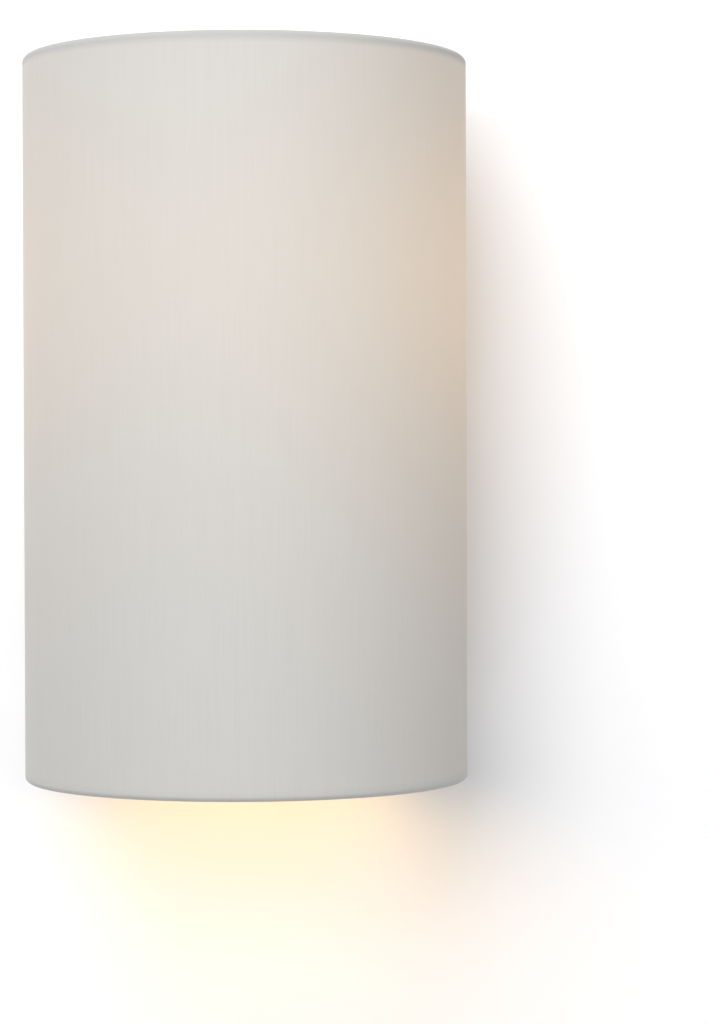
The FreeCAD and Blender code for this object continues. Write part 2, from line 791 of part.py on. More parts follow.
def holder_screw_z():
    """Height of the clamp screws below the insulator."""
    return insulator_foot - holder_terminal_height / 2


def lampholder_terminals():
    """Two brass clamps under the insulator, each bored for a wire and a screw."""
    clamps = []
    half = holder_terminal / 2
    depth = holder_terminal_depth / 2
    bottom = insulator_foot - holder_terminal_height
    for x in (centre_rivet_x, side_rivet_x):
        clamp = box(x - half, x + half, axis_y - depth, axis_y + depth, bottom, insulator_foot)
        wire_end = V(x, axis_y, insulator_foot - 1.5)
        clamp = clamp.cut(rod(wire_outer_radius + wire_end_gap, V(x, axis_y, bottom - 1), wire_end))
        screw_start = V(x, axis_y - depth - 1, holder_screw_z())
        clamp = clamp.cut(rod(holder_screw_radius + thread_fit, screw_start, V(x, axis_y, holder_screw_z())))
        clamps.append(clamp)
    return Part.makeCompound(clamps)


def lampholder_terminal_screws():
    """Clamp screws from the front of the two lampholder terminals."""
    screws = []
    z = holder_screw_z()
    face = axis_y - holder_terminal_depth / 2
    tip = axis_y - wire_outer_radius - wire_end_gap
    front = face - holder_screw_head_thickness
    for x in (centre_rivet_x, side_rivet_x):
        shank = rod(holder_screw_radius, V(x, face, z), V(x, tip, z))
        head = rod(holder_screw_head_radius, V(x, face, z), V(x, front, z))
        groove = screw_slot(holder_screw_head_radius, holder_screw_head_thickness / 2, V(x, front, z), X, Y)
        screws.append(head.fuse(shank).cut(groove))
    return Part.makeCompound(screws)


# ---- Bulb ----
def bulb_tip_contact():
    """Solder tip at the bottom of the bulb."""
    return turned([(0, tip_z), (tip_radius - tip_height, tip_z), (tip_radius, cap_insulator_z),
                   (0, cap_insulator_z)])


def bulb_cap_insulator():
    """Dark glass cone between the tip and the cap."""
    return turned([(0, cap_insulator_z), (tip_radius, cap_insulator_z),
                   (cap_insulator_radius, bulb_cap_foot), (0, bulb_cap_foot)])


def bulb_cap():
    """Thin metal screw cap of the bulb."""
    inner = bulb_cap_radius - bulb_cap_sheet
    cone_top = bulb_cap_foot + bulb_cap_cone
    top = mouth_z + bulb_cap_overhang
    return turned([(cap_insulator_radius - 1, bulb_cap_foot), (cap_insulator_radius, bulb_cap_foot),
                   (bulb_cap_radius, cone_top), (bulb_cap_radius, top), (inner, top),
                   (inner, cone_top + bulb_cap_sheet / 2),
                   (cap_insulator_radius - 1, bulb_cap_foot + bulb_cap_sheet)])


def bulb_glass():
    """Frosted pear-shaped glass: neck, hollow shoulder and globe, as one thin wall."""
    centres = glass_radius + glass_shoulder
    side = glass_neck_radius + glass_shoulder
    neck_top = globe_z - math.sqrt(centres ** 2 - side ** 2)
    slope = math.atan2(neck_top - globe_z, side)

    def at(r, z):
        return V(r, axis_y, z)

    def skin(inset):
        globe = glass_radius - inset
        hollow = glass_shoulder + inset
        join = at(globe * math.cos(slope), globe_z + globe * math.sin(slope))
        crown_angle = (math.pi / 2 + slope) / 2
        crown = at(globe * math.cos(crown_angle), globe_z + globe * math.sin(crown_angle))
        waist_angle = math.pi + slope / 2
        waist = at(side + hollow * math.cos(waist_angle), neck_top + hollow * math.sin(waist_angle))
        neck = at(glass_neck_radius - inset, neck_top)
        return neck, waist, join, crown, at(0, globe_z + globe)

    neck_o, waist_o, join_o, crown_o, top_o = skin(0.0)
    neck_i, waist_i, join_i, crown_i, top_i = skin(glass_wall)
    foot_o = at(glass_neck_radius, neck_foot)
    foot_i = at(glass_neck_radius - glass_wall, neck_foot)
    return turned_face([
        line(foot_o, neck_o), arc(neck_o, waist_o, join_o), arc(join_o, crown_o, top_o),
        line(top_o, top_i), arc(top_i, crown_i, join_i), arc(join_i, waist_i, neck_i),
        line(neck_i, foot_i), line(foot_i, foot_o),
    ])


def bulb_stem():
    """Glass stem: a flare that closes the neck, a rod and a thinner support for the filaments."""
    flare = glass_neck_radius - glass_wall - glass_fit
    return turned([(0, neck_foot), (flare, neck_foot), (flare, neck_foot + stem_flare),
                   (stem_radius, neck_foot + 4 * stem_flare), (stem_radius, stem_top),
                   (stem_rod_radius, stem_top), (stem_rod_radius, upper_crown_z), (0, upper_crown_z)])


def bulb_filament_crowns():
    """Two small metal discs between which the filaments stand."""
    bore = stem_rod_radius + thread_fit
    lower = tube(lower_crown_radius, bore, on_axis(lower_crown_z), on_axis(lower_crown_z + crown_thickness))
    upper = rod(upper_crown_radius, on_axis(upper_crown_z), on_axis(upper_crown_z + crown_thickness))
    return Part.makeCompound([lower, upper])


def bulb_filaments():
    """Light-emitting sticks that lean inwards from the lower crown to the upper one."""
    sticks = []
    foot = lower_crown_radius - filament_radius
    head = upper_crown_radius - filament_radius
    low = lower_crown_z + crown_thickness
    high = upper_crown_z
    ends = box(-glass_radius, glass_radius, axis_y - glass_radius, axis_y + glass_radius, low, high)
    for k in range(filament_count):
        angle = 360 * (k + 0.5) / filament_count
        lean = (foot - head) / (high - low)
        start = polar(foot + lean * filament_radius, angle, low - filament_radius)
        end = polar(head - lean * filament_radius, angle, high + filament_radius)
        sticks.append(rod(filament_radius, start, end).common(ends))
    return Part.makeCompound(sticks)


# ---- Build ----
def build():
    """All sub-parts by node name."""
    top_ring = end_ring(ring_z)
    bottom_ring = end_ring(-ring_z)
    strut = right_strut([top_ring, bottom_ring])
    struts = [mirrored_x(strut), strut]
    upper_bar = hanger_bar(stud_z, struts)
    lower_bar = hanger_bar(-stud_z, struts)
    binding = edge_binding([upper_bar, lower_bar])
    top_hem = hem(top_ring)
    return {
        "shade_fabric": shade_fabric(),
        "shade_liner": shade_liner(),
        "top_ring": top_ring,
        "bottom_ring": bottom_ring,
        "top_hem": top_hem,
        "bottom_hem": mirrored_z(top_hem),
        "left_strut": struts[0],
        "right_strut": struts[1],
        "left_edge_binding": binding,
        "right_edge_binding": mirrored_x(binding),
        "upper_hanger_bar": upper_bar,
        "lower_hanger_bar": lower_bar,
        "wall_plate": wall_plate(),
        "hanging_studs": hanging_studs(),
        "cable_grommet": cable_grommet(),
        "wall_box_cover": wall_box_cover(),
        "cover_screws": cover_screws(),
        "terminal_block": terminal_block(),
        "terminal_inserts": terminal_inserts(),
        "terminal_screws": terminal_screws(),
        "terminal_block_screws": terminal_block_screws(),
        "earth_screw": earth_screw(),
        "earth_lug": earth_lug(),
        "live_wire": live_wire(),
        "neutral_wire": neutral_wire(),
        "earth_wire": earth_wire(),
        "arm_tube": arm_tube(),
        "arm_collar": arm_collar(),
        "arm_lock_nut": arm_lock_nut(),
        "lampholder_cap": lampholder_cap(),
        "lampholder_body": lampholder_body(),
        "lampholder_insulator": lampholder_insulator(),
        "lamp_screw_shell": lamp_screw_shell(),
        "centre_contact": centre_contact(),
        "contact_rivets": contact_rivets(),
        "lampholder_terminals": lampholder_terminals(),
        "lampholder_terminal_screws": lampholder_terminal_screws(),
        "bulb_tip_contact": bulb_tip_contact(),
        "bulb_cap_insulator": bulb_cap_insulator(),
        "bulb_cap": bulb_cap(),
        "bulb_glass": bulb_glass(),
        "bulb_stem": bulb_stem(),
        "bulb_filament_crowns": bulb_filament_crowns(),
        "bulb_filaments": bulb_filaments(),
    }


os.makedirs("parts", exist_ok=True)
for name, shape in build().items():
    shape.exportStep(os.path.join("parts", name + ".step"))
    size = shape.optimalBoundingBox()
    print(f"{name:28s} solids {len(shape.Solids)} valid {shape.isValid()} volume {shape.Volume:.1f} "
          f"x {size.XMin:.2f}..{size.XMax:.2f} y {size.YMin:.2f}..{size.YMax:.2f} "
          f"z {size.ZMin:.2f}..{size.ZMax:.2f}")
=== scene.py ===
"""Cloth shade, bulb, fittings and studio for a wall light, built round its frame.

Everything is in metres in the light's own frame: the wall is the plane y = 0, the room is on
its negative side, +X is right as seen from the room and +Z is up.
"""
import math

import bmesh
import bpy
import numpy as np
from mathutils import Matrix, Vector


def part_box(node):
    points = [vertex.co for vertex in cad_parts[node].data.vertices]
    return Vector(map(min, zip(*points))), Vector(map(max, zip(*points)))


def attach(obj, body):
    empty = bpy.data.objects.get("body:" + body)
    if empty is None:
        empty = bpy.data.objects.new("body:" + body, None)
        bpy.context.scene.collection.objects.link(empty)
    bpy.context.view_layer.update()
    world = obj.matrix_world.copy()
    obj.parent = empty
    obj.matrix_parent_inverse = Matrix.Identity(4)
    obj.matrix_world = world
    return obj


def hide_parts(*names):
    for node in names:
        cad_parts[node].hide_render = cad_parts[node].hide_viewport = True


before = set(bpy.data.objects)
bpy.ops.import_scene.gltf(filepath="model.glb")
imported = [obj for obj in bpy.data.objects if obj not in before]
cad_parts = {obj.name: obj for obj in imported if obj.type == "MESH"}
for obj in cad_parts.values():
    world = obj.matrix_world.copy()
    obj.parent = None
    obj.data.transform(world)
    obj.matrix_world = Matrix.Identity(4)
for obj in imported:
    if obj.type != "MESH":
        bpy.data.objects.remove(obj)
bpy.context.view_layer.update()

bl_info = {
    "name": "Fabric Shade Wall Light",
    "version": (1, 0, 0),
    "blender": (4, 5, 0),
    "location": "View3D > Sidebar > Wall Light",
    "description": "Builds the cloth shade, bulb, lampholder and studio of a wall light",
    "category": "Object",
}

# ---- Places taken from the frame ----
SHADE_LOW, SHADE_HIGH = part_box("shade_fabric")
LINER_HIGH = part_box("shade_liner")[1]
SHADE_RADIUS = (SHADE_HIGH.x - SHADE_LOW.x) / 2
AXIS_Y = SHADE_LOW.y + SHADE_RADIUS
REAR_HALF_ANGLE = math.acos((SHADE_HIGH.y - AXIS_Y) / SHADE_RADIUS)
ARC_START = math.pi / 2 + REAR_HALF_ANGLE
ARC_SWEEP = 2 * math.pi - 2 * REAR_HALF_ANGLE
SHADE_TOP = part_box("top_hem")[1].z
HEM_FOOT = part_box("top_hem")[0].z
GLASS_LOW, GLASS_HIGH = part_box("bulb_glass")
GLASS_RADIUS = (GLASS_HIGH.x - GLASS_LOW.x) / 2
GLOBE_Z = GLASS_HIGH.z - GLASS_RADIUS
CAP_LOW, CAP_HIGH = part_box("bulb_cap")
SHELL_LOW, SHELL_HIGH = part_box("lamp_screw_shell")
HOLDER_LOW, HOLDER_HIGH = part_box("lampholder_body")
HOLDER_RADIUS = (HOLDER_HIGH.x - HOLDER_LOW.x) / 2
HOLDER_CAP_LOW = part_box("lampholder_cap")[0]
COVER_LOW, COVER_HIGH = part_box("wall_box_cover")
ARM_LOW, ARM_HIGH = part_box("arm_tube")
ARM_RADIUS = ARM_HIGH.x
COLLAR_LOW, COLLAR_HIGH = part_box("arm_collar")
PLATE_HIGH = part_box("wall_plate")[1]
REAR_HALF_WIDTH = SHADE_RADIUS * math.sin(REAR_HALF_ANGLE)
FOLD_CLEARANCE = 0.0007
FOLD_RADIUS = SHADE_RADIUS - (SHADE_TOP - HEM_FOOT) - FOLD_CLEARANCE
CLOTH_COLUMNS = 241
ROUND_SIDES = 96
BLACK = (0.0, 0.0, 0.0)
UV_NAME = "ClothMetres"


# ---- Settings a user would change ----
class WallLightShade(bpy.types.PropertyGroup):
    """Sizes and colours of the cloth shade."""
    cloth_thickness: bpy.props.FloatProperty(
        name="Cloth Thickness", description="Thickness of the outer cloth",
        default=0.00055, unit="LENGTH")
    backing_thickness: bpy.props.FloatProperty(
        name="Backing Thickness", description="Thickness of the stiff white backing",
        default=0.00045, unit="LENGTH")
    hem_fold: bpy.props.FloatProperty(
        name="Hem Fold", description="Height of the cloth that is turned inside at each end",
        default=0.0037, unit="LENGTH")
    hem_roll: bpy.props.FloatProperty(
        name="Hem Roll", description="Outer radius of the rolled edge over the end ring",
        default=0.0021, unit="LENGTH")
    tape_width: bpy.props.FloatProperty(
        name="Tape Width", description="Width of the edge tape on the outside of the shade",
        default=0.008, unit="LENGTH")
    tape_thickness: bpy.props.FloatProperty(
        name="Tape Thickness", description="Thickness of the edge tape",
        default=0.00045, unit="LENGTH")
    cloth_colour: bpy.props.FloatVectorProperty(
        name="Cloth Colour", description="Colour of the linen and cotton weave",
        default=(0.430, 0.426, 0.410), subtype="COLOR", min=0, max=1)
    backing_colour: bpy.props.FloatVectorProperty(
        name="Backing Colour", description="Colour of the backing inside the shade",
        default=(0.86, 0.85, 0.82), subtype="COLOR", min=0, max=1)
    glow_colour: bpy.props.FloatVectorProperty(
        name="Glow Colour", description="Colour of the lamp light that comes through the cloth",
        default=(1.0, 0.56, 0.17), subtype="COLOR", min=0, max=1)
    glow_strength: bpy.props.FloatProperty(
        name="Glow Strength", description="Brightness of the cloth level with the bulb",
        default=0.26)


class WallLightFittings(bpy.types.PropertyGroup):
    """Sizes and colours of the bulb and of the fittings that carry it."""
    bulb_colour: bpy.props.FloatVectorProperty(
        name="Bulb Colour", description="Colour of the lit bulb",
        default=(1.0, 0.68, 0.33), subtype="COLOR", min=0, max=1)
    bulb_strength: bpy.props.FloatProperty(
        name="Bulb Strength", description="Brightness of the lit bulb", default=5.0)
    thread_pitch: bpy.props.FloatProperty(
        name="Thread Pitch", description="Pitch of the lampholder's thread",
        default=0.003629, unit="LENGTH")
    thread_depth: bpy.props.FloatProperty(
        name="Thread Depth", description="Depth of the rolled thread",
        default=0.00105, unit="LENGTH")
    holder_colour: bpy.props.FloatVectorProperty(
        name="Lampholder Colour", description="Colour of the moulded lampholder",
        default=(0.82, 0.81, 0.78), subtype="COLOR", min=0, max=1)
    paint_colour: bpy.props.FloatVectorProperty(
        name="Paint Colour", description="Colour of the painted wall box and wires",
        default=(0.84, 0.84, 0.82), subtype="COLOR", min=0, max=1)


class WallLightStudio(bpy.types.PropertyGroup):
    """Light, wall and floor round the object."""
    side_power: bpy.props.FloatProperty(
        name="Side Power", description="Power of the small lamp at the left",
        default=3.2, unit="POWER")
    front_power: bpy.props.FloatProperty(
        name="Front Power", description="Power of the small lamp beside the camera",
        default=9.7, unit="POWER")
    soft_power: bpy.props.FloatProperty(
        name="Soft Power", description="Power of the large lamp above the camera",
        default=9.6, unit="POWER")
    top_power: bpy.props.FloatProperty(
        name="Top Power", description="Power of the large lamp high at the left",
        default=13.2, unit="POWER")
    fill_power: bpy.props.FloatProperty(
        name="Fill Power", description="Power of the large lamp at the right",
        default=8.9, unit="POWER")
    small_lamp: bpy.props.FloatProperty(
        name="Small Lamp", description="Side of the small lamps", default=0.75, unit="LENGTH")
    large_lamp: bpy.props.FloatProperty(
        name="Large Lamp", description="Side of the large lamps", default=1.1, unit="LENGTH")
    lamp_distance: bpy.props.FloatProperty(
        name="Lamp Distance", description="Distance from each lamp to the shade",
        default=1.6, unit="LENGTH")
    spill_power: bpy.props.FloatProperty(
        name="Spill Power", description="Power of the lamp light that leaves the lower end",
        default=0.24, unit="POWER")
    spill_colour: bpy.props.FloatVectorProperty(
        name="Spill Colour", description="Colour of the lamp light that leaves the shade",
        default=(1.0, 0.62, 0.22), subtype="COLOR", min=0, max=1)
    sky_colour: bpy.props.FloatVectorProperty(
        name="Sky Colour", description="Colour of the even light from all sides",
        default=(0.88, 0.91, 1.0), subtype="COLOR", min=0, max=1)
    sky_strength: bpy.props.FloatProperty(
        name="Sky Strength", description="Brightness of the even light from all sides",
        default=0.25)
    wall_colour: bpy.props.FloatVectorProperty(
        name="Wall Colour", description="Colour of the plain wall",
        default=(0.82, 0.82, 0.825), subtype="COLOR", min=0, max=1)
    floor_colour: bpy.props.FloatVectorProperty(
        name="Floor Colour", description="Colour of the plain floor",
        default=(0.8, 0.79, 0.77), subtype="COLOR", min=0, max=1)


# ---- Shader expressions ----
class Value:
    """A number socket that takes part in Python expressions; each operation adds a Math node."""

    def __init__(self, finish, socket):
        self.finish = finish
        self.socket = socket

    def math(self, operation, *others):
        inputs = dict(enumerate((self,) + others))
        return self.finish.add("ShaderNodeMath", {"operation": operation}, inputs)

    def __add__(self, other):
        return self.math("ADD", other)

    def __sub__(self, other):
        return self.math("SUBTRACT", other)

    def __rsub__(self, other):
        return self.finish.add("ShaderNodeMath", {"operation": "SUBTRACT"}, {0: other, 1: self})

    def __mul__(self, other):
        return self.math("MULTIPLY", other)

    def __truediv__(self, other):
        return self.math("DIVIDE", other)

    def __rtruediv__(self, other):
        return self.finish.add("ShaderNodeMath", {"operation": "DIVIDE"}, {0: other, 1: self})

    def __pow__(self, other):
        return self.math("POWER", other)

    __radd__ = __add__
    __rmul__ = __mul__

    def absolute(self):
        return self.math("ABSOLUTE")

    def cosine(self):
        return self.math("COSINE")

    def limited(self):
        """The value held between 0 and 1."""
        return self.finish.add("ShaderNodeClamp", {}, {0: self})

    def step(self, low, high):
        """0 below low, 1 above high and a smooth rise between them."""
        settings = {"interpolation_type": "SMOOTHSTEP"}
        return self.finish.add("ShaderNodeMapRange", settings, {0: self, 1: low, 2: high})


class Finish:
    """A material in the making, with one Principled shader."""

    def __init__(self, name):
        self.material = bpy.data.materials.new(name)
        self.material.use_nodes = True
        self.tree = self.material.node_tree
        self.tree.nodes.clear()
        self.output = self.tree.nodes.new("ShaderNodeOutputMaterial")
        self.shader = self.tree.nodes.new("ShaderNodeBsdfPrincipled")
        self.tree.links.new(self.shader.outputs[0], self.output.inputs["Surface"])

    def put(self, node, key, value):
        """Sets or links one input of a node."""
        socket = node.inputs[key]
        if isinstance(value, Value):
            self.tree.links.new(value.socket, socket)
        elif socket.type == "RGBA" and len(value) == 3:
            socket.default_value = (*value, 1.0)
        else:
            socket.default_value = value

    def add(self, kind, settings, inputs, output=0):
        """One node: its settings first, then its inputs; gives its output as a Value."""
        node = self.tree.nodes.new(kind)
        for name, value in settings.items():
            setattr(node, name, value)
        for key, value in inputs.items():
            self.put(node, key, value)
        return Value(self, node.outputs[output])

    def set(self, **inputs):
        """Inputs of the Principled shader, with _ for each space in a name."""
        for name, value in inputs.items():
            self.put(self.shader, name.replace("_", " "), value)

    def place(self):
        return self.add("ShaderNodeTexCoord", {}, {}, "Object")

    def cloth_place(self):
        return self.add("ShaderNodeUVMap", {"uv_map": UV_NAME}, {})

    def parts(self, vector):
        """The three numbers of a vector."""
        node = self.tree.nodes.new("ShaderNodeSeparateXYZ")
        self.put(node, 0, vector)
        return [Value(self, socket) for socket in node.outputs]

    def stretched(self, vector, x, y, z):
        """The vector with each part multiplied."""
        settings = {"operation": "MULTIPLY"}
        return self.add("ShaderNodeVectorMath", settings, {0: vector, 1: (x, y, z)})

    def noise(self, vector, scale=1.0, detail=2.0):
        inputs = {"Vector": vector, "Scale": scale, "Detail": detail}
        return self.add("ShaderNodeTexNoise", {}, inputs, "Fac")

    def blend(self, factor, first, second):
        """Mix of two colours."""
        settings = {"data_type": "RGBA"}
        return self.add("ShaderNodeMix", settings, {0: factor, 6: first, 7: second}, 2)

    def mottled(self, factor, colour, darkest):
        """A colour that goes down to a darker shade of itself where the factor is low."""
        return self.blend(factor, shaded(colour, darkest), colour)

    def bump(self, height, strength, distance):
        inputs = {"Strength": strength, "Distance": distance, "Height": height}
        return self.add("ShaderNodeBump", {}, inputs)


def shaded(colour, factor):
    """The colour, darker or lighter by a factor."""
    return tuple(min(1.0, c * factor) for c in colour)


# ---- Meshes ----
def surface(name, points, wrap_u=False, wrap_v=False, uv=None):
    """Quads over a grid of points, u along the first axis and v along the second.

    Rows or columns that coincide, as at a pole, are merged into one point.
    """
    nu, nv = points.shape[:2]
    index = np.arange(nu * nv).reshape(nu, nv)
    if wrap_u:
        index = np.vstack([index, index[:1]])
    if wrap_v:
        index = np.hstack([index, index[:, :1]])
    quads = np.stack([index[:-1, :-1], index[1:, :-1], index[1:, 1:], index[:-1, 1:]], axis=-1)
    quads = quads.reshape(-1, 4)
    mesh = bpy.data.meshes.new(name)
    mesh.vertices.add(nu * nv)
    mesh.vertices.foreach_set("co", points.reshape(-1).astype(np.float32))
    mesh.loops.add(quads.size)
    mesh.loops.foreach_set("vertex_index", quads.reshape(-1).astype(np.int32))
    mesh.polygons.add(len(quads))
    mesh.polygons.foreach_set("loop_start", np.arange(0, quads.size, 4, dtype=np.int32))
    mesh.update(calc_edges=True)
    if uv is not None:
        layer = mesh.uv_layers.new(name=UV_NAME)
        layer.data.foreach_set("uv", uv.reshape(-1, 2)[quads.reshape(-1)].reshape(-1))
    work = bmesh.new()
    work.from_mesh(mesh)
    bmesh.ops.remove_doubles(work, verts=work.verts, dist=1e-7)
    bmesh.ops.recalc_face_normals(work, faces=work.faces)
    work.to_mesh(mesh)
    work.free()
    mesh.polygons.foreach_set("use_smooth", np.ones(len(mesh.polygons), bool))
    made = bpy.data.objects.new(name, mesh)
    bpy.context.scene.collection.objects.link(made)
    return made


def facing_out(made, centre=(0, AXIS_Y, 0)):
    """Turns an open surface so that its faces look away from the upright line through a point."""
    mesh = made.data
    middles = np.empty(len(mesh.polygons) * 3, np.float32)
    normals = np.empty(len(mesh.polygons) * 3, np.float32)
    mesh.polygons.foreach_get("center", middles)
    mesh.polygons.foreach_get("normal", normals)
    level = np.array((1, 1, 0), np.float32)
    away = (middles.reshape(-1, 3) - np.array(centre, np.float32)) * level
    if (away * normals.reshape(-1, 3)).sum() < 0:
        mesh.flip_normals()
    return made


def facing(made, direction):
    """Turns a surface so that its first face looks along a direction."""
    if made.data.polygons[0].normal.dot(direction) < 0:
        made.data.flip_normals()
    return made


def thicken(made, thickness, offset=0.0):
    """Gives an open surface a wall."""
    wall = made.modifiers.new("Wall", "SOLIDIFY")
    wall.thickness = thickness
    wall.offset = offset
    wall.use_even_offset = True


def rounded(corners, steps=6, closed=True):
    """Profile through corners (r, z, rounding), each replaced by an arc tangent to both sides.

    The arc's centre lies on the bisector at rounding / sin(half the corner's angle), and its
    points turn evenly from one tangent point to the other.
    """
    count = len(corners)
    profile = []
    for i, (r, z, rounding) in enumerate(corners):
        corner = np.array((r, z), float)
        ends = not closed and i in (0, count - 1)
        if rounding == 0 or ends:
            profile.append(corner[None])
            continue
        back = np.array(corners[i - 1][:2], float) - corner
        ahead = np.array(corners[(i + 1) % count][:2], float) - corner
        back /= np.linalg.norm(back)
        ahead /= np.linalg.norm(ahead)
        half = math.acos(np.clip(back @ ahead, -1, 1)) / 2
        bisector = (back + ahead) / np.linalg.norm(back + ahead)
        centre = corner + bisector * rounding / math.sin(half)
        start = corner + back * rounding / math.tan(half) - centre
        end = corner + ahead * rounding / math.tan(half) - centre
        turn = math.pi - 2 * half
        t = np.linspace(0, 1, steps + 1)[:, None]
        arc = (start * np.sin((1 - t) * turn) + end * np.sin(t * turn)) / math.sin(turn)
        profile.append(centre + arc)
    return np.vstack(profile)


def circle(sides):
    """Angles of a full turn, without the last one, as a column."""
    return np.linspace(0, 2 * math.pi, sides, endpoint=False)[:, None]


def about_axis(r, angle, z):
    """Points at a radius, an angle and a height about the shade's axis."""
    return np.stack(np.broadcast_arrays(r * np.cos(angle), AXIS_Y + r * np.sin(angle), z), -1)


def turned(name, profile, closed=True):
    """Surface of revolution about the shade's axis: each (r, z) goes round in a circle."""
    points = about_axis(profile[:, 0], circle(ROUND_SIDES), profile[:, 1])
    return surface(name, points, wrap_u=True, wrap_v=closed)


def swept(name, path, binormal, radius, sides):
    """Tube along a flat path: each circle stands square to the path, spanned by the path's
    fixed binormal and by the cross product of its direction with the binormal."""
    direction = np.gradient(path, axis=0)
    direction /= np.linalg.norm(direction, axis=1, keepdims=True)
    side = np.cross(direction, binormal)
    angle = circle(sides)
    ring = np.cos(angle) * np.array(binormal) + np.sin(angle) * side[:, None, :]
    return surface(name, path[:, None, :] + radius * ring, wrap_v=True)


def dress(made, body, slot, material, *nodes):
    """Puts a material on a piece, hangs it on its body and lets it stand for CAD nodes."""
    made.data.materials.append(material)
    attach(made, body)
    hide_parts(*nodes)


def repaint(material, *nodes):
    """Gives CAD nodes a finish."""
    for node in nodes:
        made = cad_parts[node]
        made.data.materials.clear()
        made.data.materials.append(material)


def once(name, make, *settings):
    """The material of that name, made with its settings when it is first asked for."""
    return bpy.data.materials.get(name) or make(name, *settings)


# ---- Finishes ----
def linen(name, glows):
    """Off-white linen and cotton: uneven upright threads, fainter level ones, and lamp glow.

    Each set of threads is a noise stretched along its thread, so slubs run long and narrow. A
    cosine across the threads, shifted by that noise, gives them their ribs. Painted shade makes
    the cloth darker over the upper ring and a little darker over the lower one.
    """
    look = bpy.context.scene.wall_light_shade
    warp_pitch, weft_pitch, waver = 0.00062, 0.00066, 5.0
    dark_thread, light_thread, rim_shade_tone = 0.968, 1.024, 0.84
    finish = Finish(name)
    cloth = finish.cloth_place()
    upright = finish.noise(finish.stretched(cloth, 1500.0, 28.0, 1.0), detail=3.0)
    level = finish.noise(finish.stretched(cloth, 30.0, 1500.0, 1.0), detail=3.0)
    slub = finish.noise(finish.stretched(cloth, 420.0, 9.0, 1.0))
    across, along, _ = finish.parts(cloth)
    warp = (across * (2 * math.pi / warp_pitch) + upright * waver).cosine()
    weft = (along * (2 * math.pi / weft_pitch) + level * waver).cosine()
    relief = warp * 0.09 + weft * 0.07 + upright * 0.8 + level * 0.45 + slub * 0.4
    thread = upright * 0.55 + level * 0.2 + slub * 0.25
    weave = finish.blend(thread.step(0.25, 0.75), shaded(look.cloth_colour, dark_thread),
                         shaded(look.cloth_colour, light_thread))
    height = finish.parts(finish.place())[2]
    # Painted shade: the cloth's colour darkens up the upper rolled edge, and a little along both
    # hem feet.
    fade, rim_foot, rim_top = 0.0014, HEM_FOOT - 0.0016, SHADE_TOP - 0.0008
    hem = height.absolute().step(HEM_FOOT - fade, HEM_FOOT + fade)
    rim_shade = height.step(rim_foot, rim_top) * 0.9 + hem * 0.1
    finish.set(Base_Color=finish.blend(rim_shade, weave, shaded(look.cloth_colour, rim_shade_tone)),
               Roughness=0.92, Sheen_Weight=0.15, Sheen_Roughness=0.6,
               Specular_IOR_Level=0.2, Normal=finish.bump(relief, 0.16, 0.0002))
    if glows:
        # A mix factor stops at 1, so the glow is divided by this and its strength multiplied.
        headroom = 2
        glow = glow_through(finish, thread, hem) / headroom
        finish.set(Emission_Color=finish.blend(glow, BLACK, look.glow_colour),
                   Emission_Strength=look.glow_strength * headroom)
    return finish.material


def glow_through(finish, thread, hem):
    """Lamp light that comes through the cloth, as a multiple of the glow's strength.

    It falls with a power of 1 plus the square of the height off the glow's level, in shade
    radii. Round the shade it is a curve of second degree from left to right, higher at the
    right, times a rise towards the rear. Hems and thick threads let less through.
    """
    glow_level, power = GLOBE_Z + 0.006, 1.15
    at_sides, at_right, at_front, at_rear = 0.50, 0.28, 0.38, 4.5
    hem_stops, thread_range, thinnest = 0.9, 0.32, 1.16
    x, y, height = finish.parts(finish.place())
    fall = (height - glow_level) / SHADE_RADIUS
    right = x / SHADE_RADIUS
    rear = ((y - AXIS_Y) / SHADE_RADIUS).limited()
    up_and_down = (1.0 / (fall * fall + 1.0)) ** power
    left_to_right = right * right * at_sides + right * at_right + at_front
    front_to_rear = rear * rear * at_rear + 1.0
    through = (1.0 - hem * hem_stops) * (thinnest - thread * thread_range)
    return up_and_down * left_to_right * front_to_rear * through


def backing(name):
    """Stiff white laminate with a faint grain."""
    look = bpy.context.scene.wall_light_shade
    finish = Finish(name)
    grain = finish.noise(finish.place(), 900.0)
    finish.set(Base_Color=finish.mottled(grain, look.backing_colour, 0.97),
               Roughness=0.6, Normal=finish.bump(grain, 0.1, 0.0001))
    return finish.material


def powder_paint(name):
    """White powder coat with a fine orange-peel surface."""
    look = bpy.context.scene.wall_light_fittings
    finish = Finish(name)
    peel = finish.noise(finish.place(), 700.0, 1.0)
    dust = finish.noise(finish.place(), 35.0, 4.0)
    finish.set(Base_Color=finish.mottled(dust, look.paint_colour, 0.96),
               Roughness=0.36 + dust * 0.1, Normal=finish.bump(peel, 0.12, 0.0002))
    return finish.material


def metal(name, colour, roughness, scratch):
    """Plated metal with fine upright scratches and a slightly uneven gloss."""
    finish = Finish(name)
    fine = finish.noise(finish.stretched(finish.place(), 2600.0, 2600.0, 120.0))
    cloud = finish.noise(finish.place(), 60.0, 4.0)
    finish.set(Base_Color=finish.mottled(cloud, colour, 0.9), Metallic=1.0,
               Roughness=roughness + cloud * 0.12 + fine * 0.06,
               Normal=finish.bump(fine, scratch, 0.0001))
    return finish.material


def plastic(name, colour, roughness, coat=0.0):
    """Moulded plastic, rubber, ceramic or clear glass with a faint waviness."""
    finish = Finish(name)
    wave = finish.noise(finish.place(), 130.0, 3.0)
    finish.set(Base_Color=finish.mottled(wave, colour, 0.96), Coat_Weight=coat,
               Coat_Roughness=0.08, Roughness=roughness + wave * 0.08,
               Normal=finish.bump(wave, 0.06, 0.0004))
    return finish.material


